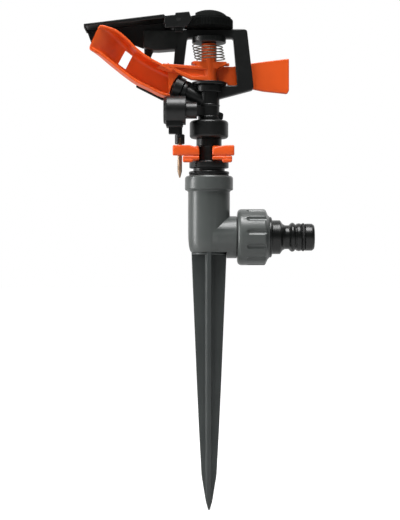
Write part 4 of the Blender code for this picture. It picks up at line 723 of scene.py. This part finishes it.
def makeHead():
    s = headSizes
    foot, top = s.halfFoot, s.halfTop
    outerTop = top + s.upright + 2.2
    leftTop = top + s.upright - 1
    length = s.nozzleLength
    outer = [
        (s.tube - 0.4, barTop - 7.9, 1.5), (foot - 0.7, barTop - s.barEnd, 1),
        (foot, barTop - s.barEnd + 1.4, 0.8), (foot, barTop), (outerTop, frameTop - 0.6, 2),
        (outerTop - 2, frameTop, 1.5), (-leftTop + 1.6, frameTop, 0.9), (-leftTop, frameTop - 1.6, 0.9),
        (-s.leftFoot, barTop + 0.5, 1), onJet(length - 1.6, 0.5), onJet(7, -1), (-s.tube + 0.5, nozzleZ),
        (s.tube - 0.5, nozzleZ)]
    window = [
        (foot - s.upright - 3.5, barTop, 1.2), (-9, barTop, 0.5), (-10.9, barTop + 2), (-13.3, barTop + 2.8),
        (-s.leftFoot + s.upright - 0.2, barTop + 3, 1), (-top + 1.3, windowTop, 1.2), (top, windowTop, 1.2)]
    bridge = slab("head_bridge", [outer, window], -s.depth / 2, s.depth / 2, s.edge)
    headFoot = boxOf("head_body").z0
    tube = lathed("head_tube", [
        (0, barTop - 1.5), (s.tube, barTop - 3.5, 1), (s.tube, hoodTop + 9.8, 0.3),
        (s.tube + 0.25, hoodTop + 9.4, 0.2), (s.tube + 0.25, hoodTop + 8.9, 0.2),
        (s.tube, hoodTop + 8.5, 0.3), (s.tube, hoodTop + 2.6, 0.3), (s.tube + 0.3, hoodTop + 2.2, 0.2),
        (s.tube + 0.3, hoodTop + 0.5, 0.2), (s.tube, hoodTop + 0.3), (s.tube, headFoot), (0, headFoot)])
    pad = rod("head_pad", boxOf("thrust_disc").x1 - 2, barTop - 4, barTop - 0.02)
    mouthFoot = s.ringSeat + s.ringLength + gap
    barrel = lathed("head_barrel", [
        (0, length), (s.mouth, length, 0.7), (s.mouth, mouthFoot, 0.35), (s.nozzle, mouthFoot),
        (s.nozzle, 0), (0, 0)], place=jetPlace)
    seat = rod("head_seat", s.seatBoss, windowTop - s.seatHeight, windowTop + 1, 0.5)
    lugOutline = [(-s.hingeBack - s.lug, frameTop - 2), (-s.hingeBack + s.lug, frameTop - 2)]
    lugOutline += [(x - s.hingeBack, z + hingeZ) for x, z in arcPoints(s.lug, 0, 180, 20)]
    lug = slab("head_lug", [lugOutline], -s.lugWidth / 2, s.lugWidth / 2, 0.4)
    boss = rod("head_boss", s.boss, -s.bossOut, -s.bossIn, 0.2, place=tripPlace)
    bracket = slab("head_bracket", [[
        (-s.bossOut + 1.2, -s.tripAhead + 1, 0.4), (-s.bossOut + 1.2, -s.tripAhead + s.boss + 0.6, 0.8),
        (-3, -1), (-1, -4), (-s.bossIn - 0.4, -s.tripAhead - 2, 0.6)]],
        tripZ - 2.8, tripZ + 2.6, 0.5, flat=True)
    sideLug = slab("head_side_lug", [[
        (s.tube - 1, tripZ - 4.6), (s.tube + 2, tripZ - 4.3, 1), (s.tube + 2.4, tripZ - 0.8, 1.2),
        (s.tube - 1, tripZ + 0.6)]], -1.5, 1.5, 0.4)
    tubeEnd = nozzleZ - s.waterway
    riser = lathed("head_riser", [
        (0, nozzleZ + 0.5), (s.waterway - 0.1, nozzleZ + 0.5), (s.waterway - 0.1, tubeEnd),
        (s.turning, tubeEnd), (s.turning, headFoot - 1), (0, headFoot - 1)])
    socketFoot = length - s.socketDepth
    bore = lathed("head_bore", [
        (0, length + 1), (s.socket, length + 1), (s.socket, socketFoot), (s.waterway, socketFoot),
        (s.waterway, -0.7), (0, -0.7)], place=jetPlace)
    pinHole = rod("head_pin_hole", s.pin + gap, barTop - 3, frameTop + 1, 0)
    hingeHole = rod("head_hinge_hole", s.axleHole, -s.lugWidth, s.lugWidth, 0,
                    place=facing((0, 1, 0), (-s.hingeBack, 0, hingeZ)))
    shaftHole = rod("head_shaft_hole", s.axleHole, -s.bossOut - 1, -s.bossIn - 1.5, 0, place=tripPlace)
    made = fused("turning_head", bridge, [tube, pad, barrel, seat, lug, boss, bracket, sideLug],
                 [riser, bore, pinHole, hingeHole, shaftHole])
    dress(made, "head", "black_plastic", "head_body")


makeHead()


def makeNozzle():
    s = headSizes
    length = s.nozzleLength
    foot = length - s.socketDepth + gap
    top = length + 0.2
    tip = turned("jet_outlet", softened([
        (s.outlet + 0.4, top, 0.1), (s.socket - gap, top, 0.4), (s.socket - gap, foot), (s.waterway, foot),
        (s.outlet, top - 2.5, 0.5), (s.outlet, top - 0.8, 0.2)]), 64, jetPlace)
    dress(tip, "head", "black_plastic", "nozzle_tip")
    near = s.ringSeat
    collar = ring("jet_collar", s.nozzle + gap, s.ring, near, near + s.ringLength, 0.5, place=jetPlace)
    dress(collar, "head", "black_plastic", "nozzle_ring")
    box = boxOf("thrust_disc")
    disc = ring("arm_disc", s.pin + gap, box.x1, box.z0, box.z1, 0.4)
    dress(disc, "head", "black_plastic", "thrust_disc")


makeNozzle()

guard = {"back": 6.7, "plate": 1.8, "reach": 39.2, "edge": 0.6}


def makeGuard():
    s = headSizes
    right = boxOf("splash_guard").x1
    out = -guard["reach"]
    under = windowTop - 6.5
    back = guard["back"]
    edge = guard["edge"]
    bar = slab("guard_bar", [[
        (right, frameTop - 0.6, 0.4), (out, frameTop - 0.6, 1.2), (out, under + 1, 1.5),
        (out + 5.6, under - 0.8, 1), (out + 9, under - 0.9, 0.6), (right, under, 0.4)]],
        -s.depth / 2, back, edge)
    low = barTop - 2.8
    beforeMouth = s.nozzleLength + s.run
    rootX = onJet(beforeMouth, s.mouth)[0]
    leg = slab("guard_leg", [[
        (out + 0.1, frameTop - 2), (out, under + 1.8, 2), (out + 0.3, under - 6, 3),
        (out - 2.4, under - 16, 3), (-44.3, low + 2.9, 0.8), (-28.2, low - 5.2, 0.8),
        onJet(beforeMouth, -s.mouth), onJet(beforeMouth, s.mouth), (rootX, under - 12.7, 0.5),
        (-24.5, under - 12.7, 2), (-32.6, under - 13.5, 3), (out + 3.4, under - 5.6, 2),
        (out + 5, under - 1.6, 1.5), (out + 6.4, under + 1), (out + 7, frameTop - 2)]],
        back - guard["plate"], back - 0.02, 0.45)
    dress(fused("splash_plate", bar, [leg]), "head", "black_plastic", "splash_guard")


makeGuard()

print("arm")
arm = {
    "yaw": 8, "hub": 4.6, "seat": 10.8, "seatThick": 2.4, "seatRise": 9.7, "front": 4.5, "back": 1.5,
    "flange": 2, "web": 1.5, "paddleNear": 1.35, "paddleThick": 3, "paddleReach": 49.4,
    "spoonBack": 7.6, "floor": 1.8, "rim": 1.5, "fillet": 3, "backEdge": 2.4, "elbowX": 19.4,
    "elbowRise": 4.6, "curlStart": 0.72, "stations": 108, "endRound": 2.2, "endShare": 0.955,
}
discTop = boxOf("thrust_disc").z1
armTurn = Matrix.Rotation(math.radians(arm["yaw"]), 4, "Z")
lowerEdge = [(-22, -8.8), (-27.8, -8.8), (-36.6, -4.8), (-44, -1.3), (-50, 2.7), (-56.5, 7.7),
             (-64.9, 14), (-72.5, 17.9)]
upperEdge = [(-14, 3), (-21.7, 6.7), (-29.1, 10.2), (-36.6, 14.1), (-43.6, 19.1), (-49.5, 24.9),
             (-56.5, 30), (-65.8, 32.7)]


def alongCurve(corners, share):  # a smooth curve through corners, share from 0 to 1
    spot = share * (len(corners) - 1)
    i = min(int(spot), len(corners) - 2)
    t = spot - i
    a = Vector(corners[max(i - 1, 0)])
    b, c = Vector(corners[i]), Vector(corners[i + 1])
    d = Vector(corners[min(i + 2, len(corners) - 1)])
    return 0.5 * ((2 * b) + (c - a) * t + (2 * a - 5 * b + 4 * c - d) * t ** 2
                  + (3 * b - a - 3 * c + d) * t ** 3)


def makeSpoon():
    s = SimpleNamespace(**arm)
    front = -s.front
    sections = []
    for i in range(s.stations + 1):
        share = i / s.stations
        low, high = alongCurve(lowerEdge, share), alongCurve(upperEdge, share)
        low.y += discTop
        high.y += discTop
        across = (high - low).normalized()
        ending = max(0, (share - s.endShare) / (1 - s.endShare))
        drawn = s.endRound * (1 - math.sqrt(1 - ending * ending))
        low += across * drawn
        width = (high - low).length - drawn
        curl = max(0, (share - s.curlStart) / (1 - s.curlStart))
        curl = curl * curl * (3 - 2 * curl)
        floor = s.spoonBack - s.floor + (front + 0.25 - s.spoonBack + s.floor) * curl
        behind = s.spoonBack + (front + 3.4 - s.spoonBack) * curl ** 1.6
        fillet = min(s.fillet, (floor - front) * 0.8)
        wall = s.rim + s.rim * 0.9 * 0.4
        outline = softened([
            (0, front, 0.55), (s.rim, front, 0.45), (wall, floor, fillet),
            (width - wall, floor, fillet), (width - s.rim, front, 0.45),
            (width, front, 0.55), (width, behind, s.backEdge), (0, behind, s.backEdge)], steps=5)
        spots = [(low + across * t, y) for t, y in outline]
        sections.append([(spot.x, y, spot.y) for spot, y in spots])
    return loft("arm_spoon", sections)


def mouthProfile(turns):  # the room that the barrel's mouth needs as the arm passes, as radius and height
    profile = []
    for degrees in turns:
        turn = math.radians(degrees)
        x, z, _ = onJet(headSizes.nozzleLength, headSizes.mouth * math.cos(turn))
        profile.append((math.hypot(x, headSizes.mouth * math.sin(turn)) + headSizes.run, z))
    return profile


def makeArm():
    s = SimpleNamespace(**arm)
    hubZ = discTop + gap
    seatZ = discTop + s.seatRise
    seatTop = seatZ + s.seatThick
    bossZ = windowTop - headSizes.seatHeight
    hub = rod("arm_hub", s.hub, hubZ, bossZ - gap, 0.4)
    seat = lathed("arm_seat", [
        (0, seatTop), (s.seat, seatTop, 0.5), (s.seat, seatZ + 1.2, 0.5), (s.seat - 4.8, seatZ - 1.7),
        (0, seatZ - 1.7)])
    front = block("arm_seat_front", (-20, -20, seatZ - 3), (20, -s.hub + 0.3, seatTop + 1))
    seat = fused("arm_seat", seat, [], [front])
    tab = slab("arm_tab", [[
        (s.seat - 1, -1.5), (s.seat + 1.4, -1.5, 0.5), (s.seat + 1.4, 1.5, 0.5), (s.seat - 1, 1.5)]],
        seatZ + 0.4, seatZ + 2, 0.3, flat=True)
    slopeX, slopeZ = -s.elbowX, discTop + s.elbowRise
    discX = -(boxOf("thrust_disc").x1 + 0.5)
    topRight, topLeft = seatZ - 0.6, seatZ + 0.6
    webLeft = -29
    web = slab("arm_web", [[
        (-1, topRight), (webLeft, topLeft - 1), (-32, discTop + 8), (-27, discTop + 6), (slopeX, slopeZ),
        (discX, hubZ + 0.6), (-1, hubZ)]], -s.back - s.web, -s.back, 0.2)
    topFlange = slab("arm_top_flange", [[
        (-1, topRight + 0.02), (webLeft + 0.8, topLeft, 0.6), (webLeft - 0.6, topLeft - s.flange, 0.8),
        (-1, topRight - s.flange)]], -s.front, -s.back - 0.02, 0.5)
    lowFlange = slab("arm_low_flange", [[
        (slopeX - 5, slopeZ + 3.6), (slopeX, slopeZ + 0.02), (discX, hubZ + 0.62, 1), (-1, hubZ + 0.02),
        (-1, hubZ + 3.2), (discX, hubZ + 3, 1.5), (slopeX, slopeZ + 2.4, 2), (slopeX - 6, slopeZ + 6.2)]],
        -s.front + 0.02, -s.back - 0.04, 0.5)
    rightLow = barTop + 0.6
    reach = s.paddleReach
    paddle = slab("arm_paddle", [[
        (1, hubZ + 0.04), (-discX, hubZ + 0.04, 0.5), (-discX + 0.9, rightLow + 0.2, 0.8),
        (26, rightLow - 1.6, 4), (34, barTop - 2.4, 4), (reach - 1.1, barTop - 3.6, 0.8),
        (reach, barTop - 1.5, 0.8), (reach, seatZ + 6.1, 0.7), (34, seatZ + 3.9, 5), (24, seatZ + 2.3, 5),
        (s.seat + 4, seatZ + 0.4, 2), (1, seatZ + 0.2)]], s.paddleNear, s.paddleNear + s.paddleThick, 0.6)
    slot = slab("arm_slot", [[
        (x, discTop + z, 0.4) for x, z in ((-49.6, 19.2), (-54.1, 10.9), (-49.7, 7.8), (-45.5, 16.1))]],
        -1, 9, 0)
    run, length, mouth = headSizes.run, headSizes.nozzleLength, headSizes.mouth
    room = math.hypot(headSizes.leftFoot, headSizes.depth / 2) + run
    above, below = discTop + 20, discTop - 14
    swept = [(0, above), (room, above), (room, onJet(length, 0)[1])] + mouthProfile(range(99, 181, 9))
    sweep = lathed("arm_sweep", swept + [(swept[-1][0], below), (0, below)], 128)
    spoon = fused("arm_spoon", makeSpoon(), [], [slot, sweep])
    passed = [(0, above), (run - onJet(length, mouth)[0], above)] + mouthProfile(range(0, 181, 15))
    passed = lathed("arm_pass", passed + [(passed[-1][0], below), (0, below)], 128)
    gusset = slab("arm_gusset", [[
        (-25, discTop + 7), (-17.6, discTop + 5.4), (-20, discTop - 7.6), (-24.4, discTop - 7.6)]],
        -s.back - 0.05, -s.back / 2, 0.2)
    gusset = fused("arm_gusset", gusset, [], [passed])
    bore = rod("arm_bore", headSizes.pin + gap, hubZ - 1, bossZ + 1, 0)
    made = fused("swing_arm", hub, [seat, tab, web, gusset, topFlange, lowFlange, paddle, spoon], [bore])
    dress(shift(made, armTurn), "arm", "orange_plastic", "impact_arm")


makeArm()

armSpring = {  # the coil leans a little: its middle at the foot and at the top
    "radius": 8.9, "wire": 0.7, "turns": 5, "lead": 208, "points": 40, "footX": 0.7, "topX": -1,
}


def makeArmSpring():  # a helix whose ends turn up and down into their seats
    s, box = SimpleNamespace(**armSpring), boxOf("arm_spring")
    foot, top = box.z0 + 1.6 * s.wire, box.z1 - 1.6 * s.wire
    count = s.turns * s.points
    points = []
    for i in range(count + 1):
        turn = math.radians(s.lead) + math.tau * i / s.points
        lean = s.footX + (s.topX - s.footX) * i / count
        points.append(Vector((lean + s.radius * math.cos(turn), s.radius * math.sin(turn),
                              foot + (top - foot) * i / count)))
    first, last = [Vector((spot.x, spot.y, z)) for spot, z in ((points[0], box.z0), (points[-1], box.z1))]
    points = [first] + points + [last]
    curve = bpy.data.curves.new("return_spring", "CURVE")
    curve.dimensions = "3D"
    curve.bevel_depth = s.wire / 2 * mm
    curve.bevel_resolution = 3
    curve.use_fill_caps = True
    line = curve.splines.new("POLY")
    line.points.add(len(points) - 1)
    for point, spot in zip(line.points, points):
        point.co = (*(spot * mm), 1)
    dress(makeObject("return_spring", curve), "arm", "spring_steel", "arm_spring")


makeArmSpring()

print("knob")
knob = {
    "teeth": 48, "toothDepth": 0.25, "skirt": 5.2, "cap": 11.9, "middle": 4.9, "flat": 8.2,
    "flatRise": 6.6, "socket": 5, "domeTurn": 72, "domeSteps": 16,
}


def makeKnob():
    s, box = SimpleNamespace(**knob), boxOf("spring_knob")
    skirt, height = box.x1, box.z1 - box.z0
    dome = []
    for step in range(s.domeSteps + 1):
        turn = math.radians(s.domeTurn) * step / s.domeSteps
        dome.append(Vector((s.cap * math.sin(turn), s.middle + (height - s.middle) * math.cos(turn))))
    outline = dome + softened([
        (skirt - 1.8, s.skirt + 1.5), (skirt - 1.2, s.skirt + 1.3, 0.3),
        (skirt - 1, s.skirt + 0.3, 0.2), (skirt - 0.2, s.skirt + 0.1, 0.2),
        (skirt, s.skirt - 0.5, 0.3), (skirt, 0.4, 0.3),
        (skirt - 0.4, 0, 0.2), (0, 0)], closed=False)

    def carve(turn, r, z):  # grip teeth round the skirt
        if r < skirt - 0.3:
            return r
        wave = abs(math.sin(turn * s.teeth / 2))
        return r - s.toothDepth * (1 - wave) ** 1.6

    place = Matrix.Translation((0, 0, box.z0))
    body = turned("knob_body", outline, 480, place, closed=False, carve=carve, angle=40)
    flat = block("knob_flat", (-20, -20, box.z0 + s.flatRise), (-s.flat, 20, box.z1 + 10))
    bore = rod("knob_bore", headSizes.pin + gap, box.z0 - 1, box.z0 + s.socket + gap, 0)
    made = fused("adjusting_knob", body, [], [flat, bore], angle=40)
    dress(made, "knob", "black_plastic", "spring_knob", finish=dullBlack)


makeKnob()

print("deflector")
deflector = {
    "tip": 75, "half": 9, "thick": 1.4, "cheekIn": 7.3, "cheekThick": 1.5, "earIn": 12.9,
    "earWidth": 1.6, "pin": 1.2, "edge": 0.4,
}


def makeDeflector():
    s = SimpleNamespace(**deflector)
    tip = headSizes.hingeBack - s.tip
    thick = s.thick
    roof = slab("flap_roof", [[
        (tip + 0.5, -1.6, 0.5), (-8.9, 4.2, 0.3), (-8.1, 3.2, 0.3), (-2.2, 3.8, 0.5),
        (-2.2, 3.8 - thick * 1.2), (-8.1, 3.2 - thick), (tip + 1.7, -1.6 - thick), (tip + 1.5, -4.2, 0.4),
        (tip + 0.7, -4.3, 0.4)]], -s.half, s.half, s.edge)
    cheek = slab("flap_cheek", [[
        (tip + 1.6, -2.4), (tip + 1.4, -4, 0.5), (tip + 3.6, -10.2, 1.5), (tip + 7, -12, 1.5),
        (-31, -10.3, 3), (-22, -13.6, 1.5), (-6, -13, 1.5), (-4.4, -3, 1), (-3.4, 3.4), (-9.5, 3)]],
        s.cheekIn, s.cheekIn + s.cheekThick, s.edge)
    wide = s.earIn + s.earWidth
    neck = slab("flap_neck", [[
        (-8.8, -2.4, 0.3), (-3.1, -2.4, 0.3), (-3.1, 2.7, 0.3), (-8, 2.1, 0.3)]], -wide, wide, 0.3)
    ears = []
    for side in (-1, 1):
        near, far = sorted((side * s.earIn, side * (wide - 0.02)))
        ears.append(slab("flap_ear", [[
            (-8, -5, 0.6), (5, -4, 1.5), (6.8, -1.2, 0.5), (8, 0.6, 0.4), (7.1, 2.1, 0.3), (6.2, 4.7, 0.5),
            (-1.8, 4, 0.4), (-2.1, 2.7, 0.3), (-7.9, 2.1, 0.5)]], near, far, s.edge))
    hole = rod("flap_hole", s.pin + slip, -20, 20, 0, place=facing((0, 1, 0)))
    made = fused("range_flap", roof, [cheek, neck] + ears, [hole])
    shift(made, Matrix.Translation(Vector((-headSizes.hingeBack, 0, hingeZ)) * mm))
    dress(made, "deflector", "black_plastic", "range_deflector")


makeDeflector()

print("trip lever")
trip = {
    "drum": 8.6, "drumLength": 12.9, "pocket": 6.6, "pocketDepth": 6.5, "stemX": 17.4, "stem": 1.5,
    "stemDrop": 14.2, "barrel": 2.9, "barrelLength": 5.8, "pin": 1.35, "pinLength": 20, "shaft": 1.2,
}


def makeTrip():
    s = SimpleNamespace(**trip)
    left = -(headSizes.bossOut + gap) - s.drumLength
    right = -headSizes.bossOut - slip
    axis = Matrix.Translation((0, -headSizes.tripAhead, tripZ))
    drum = lathed("trip_drum", [
        (0, right), (s.drum, right, 0.2), (s.drum, left + 2, 1), (s.drum - 1, left, 0.6), (0, left)],
        128, tripPlace)
    stemTop = -s.drum + 1.2
    down = axis @ Matrix.Translation((-s.stemX, 0, 0))
    stem = rod("trip_stem", s.stem, -s.stemDrop - 0.5, stemTop, 0, place=down)
    knuckle = rod("trip_knuckle", s.stem + 0.5, -s.drum - 1.2, stemTop, 0.3, place=down)
    barrelLow = -s.stemDrop - s.barrelLength
    socketTop = -s.stemDrop - 1
    barrel = lathed("trip_barrel", [
        (0, -s.stemDrop), (s.barrel, -s.stemDrop, 0.6), (s.barrel, barrelLow, 0.5),
        (s.pin + gap, barrelLow, 0.2), (s.pin + gap, socketTop), (0, socketTop)], 64, down)
    tabLow = -s.stemDrop + 0.2
    tab = slab("trip_tab", [[
        (left + 3, tabLow, 0.5), (-s.stemX, tabLow, 0.5), (-s.stemX, stemTop), (left + 3, stemTop)]],
        -2.2, 2.2, 0.3, place=axis)
    casing = slab("trip_casing", [[
        (left + 0.4, 0), (left + 1.6, -s.drum - 1.5, 1), (-s.stemX + 1.7, -s.drum - 1.5, 0.5),
        (-s.stemX + 1.7, 0)]], -5.5, 5.5, 0.6, place=axis)
    pocket = turned("trip_pocket", [
        (2.6, right + 1), (s.pocket, right + 1), (s.pocket, right - s.pocketDepth),
        (2.6, right - s.pocketDepth)], 64, tripPlace)
    hole = rod("trip_hole", s.shaft + gap, left + 2.7, right + 2, 0, place=tripPlace)
    ahead = headSizes.tripAhead
    window = block("trip_window", (-s.stemX - 0.8, -ahead - 10, tripZ + barrelLow - 1),
                   (-s.stemX + 0.8, -ahead, tripZ + barrelLow + 3.6))
    made = fused("trip_drum_lever", drum, [stem, knuckle, barrel, tab, casing], [pocket, hole, window])
    dress(made, "trip", "black_plastic", "trip_lever")
    point = barrelLow - s.pinLength
    pin = lathed("trip_rod", [
        (0, socketTop - gap), (s.pin, socketTop - gap, 0.2), (s.pin, point + 3.9, 0.4),
        (0.35, point + 0.15, 0.15), (0, point)], 48, down)
    dress(pin, "trip", "brass", "trip_pin")


makeTrip()

print("inner pieces and pins")
slotOf = {row["node"]: row["material_slot"] for row in frame["record"]["subparts"]}
for node, thing in frame["nodes"].items():
    if not thing.hide_render:
        thing.data.materials.clear()
        thing.data.materials.append(darkPin if node == "deflector_pin" else slotMaterials[slotOf[node]])

print("floor, light and camera")
studio = {
    "camera": (-5.4, -770.0, -1.0), "lens": 88.8, "sensor": 36.0, "world": 0.08, "gloss": 0.05,
    "floor": 0.5, "floorGlow": 0.84, "floorGloss": 0.3,
    "lamps": {  # power in watts, then size and place in metres
        "overhead_softbox": (12.0, (0.5, 0.5), (0.0, -0.28, 0.92)),
        "left_strip": (9.0, (0.2, 0.9), (-0.95, -0.1, 0.1)),
        "front_fill": (10.5, (1.2, 1.2), (-0.9, -1.2, 0.85)),
    },
}


def lamp(name, power, size, at, target=(0.0, 0.0, 0.05)):
    light = bpy.data.lights.new(name, "AREA")
    light.shape = "RECTANGLE"
    light.size, light.size_y = size
    light.energy = power
    made = makeObject(name, light)
    made.location = at
    made.rotation_euler = (Vector(target) - Vector(at)).to_track_quat("-Z", "Y").to_euler()
    return made


def makeStudio():
    s = SimpleNamespace(**studio)
    floorZ = boxOf("spike").z0 * mm
    half = 6.0
    corners = [(x * half, y * half, floorZ) for x, y in ((-1, -1), (1, -1), (1, 1), (-1, 1))]
    mesh = bpy.data.meshes.new("studio_floor")
    mesh.from_pydata(corners, [], [(0, 1, 2, 3)])
    floor = makeObject("studio_floor", mesh)
    shader = Shader("pale floor")
    camera, glossy, clear = [shader.node("ShaderNodeLightPath", out=out) for out in (0, 3, 6)]
    seen = camera + (glossy + clear) * s.floorGloss
    spot = shader.node("ShaderNodeTexCoord", out=3)
    away = shader.node("ShaderNodeVectorMath", {"operation": "LENGTH"}, {0: spot}, out=1)
    level = s.floorGlow + shader.ramp(away, 0.35, 1.3) * (1 - s.floorGlow)
    pale = shader.node("ShaderNodeBsdfDiffuse", {}, {"Color": (s.floor,) * 3 + (1.0,)})
    glow = shader.node("ShaderNodeEmission", {}, {"Color": (1.0, 1.0, 1.0, 1.0), "Strength": seen * level})
    both = shader.node("ShaderNodeAddShader", {}, {0: pale, 1: glow})
    shader.node("ShaderNodeOutputMaterial", {}, {"Surface": both})
    floor.data.materials.append(shader.owner)
    world = bpy.data.worlds.new("studio")
    bpy.context.scene.world = world
    sky = Shader("studio", world)
    camera, glossy, clear = [sky.node("ShaderNodeLightPath", out=out) for out in (0, 3, 6)]
    away = sky.node("ShaderNodeSeparateXYZ", {}, {0: sky.node("ShaderNodeTexCoord", out=0)}, out=1)
    backdrop = sky.ramp(away, 0.1, 0.7)  # the white backdrop stands behind the object
    mirrored = glossy + clear
    seen = s.gloss + backdrop * (1 - s.gloss)
    level = camera + (1 - camera) * (mirrored * seen + (1 - mirrored) * s.world)
    shade = sky.node("ShaderNodeBackground", {}, {"Color": (1.0, 1.0, 1.0, 1.0), "Strength": level})
    sky.node("ShaderNodeOutputWorld", {}, {"Surface": shade})
    for name, (power, size, at) in s.lamps.items():
        lamp(name, power, size, at).visible_glossy = name != "front_fill"
    camera = bpy.data.cameras.new("photo_camera")
    camera.sensor_fit = "VERTICAL"
    camera.sensor_height = s.sensor
    camera.lens = s.lens
    camera.clip_start, camera.clip_end = 0.05, 30.0
    stand = makeObject("photo_camera", camera)
    stand.location = [value * mm for value in s.camera]
    stand.rotation_euler = (math.pi / 2, 0.0, 0.0)
    bpy.context.scene.camera = stand
    bpy.context.scene.view_settings.view_transform = "Standard"


makeStudio()
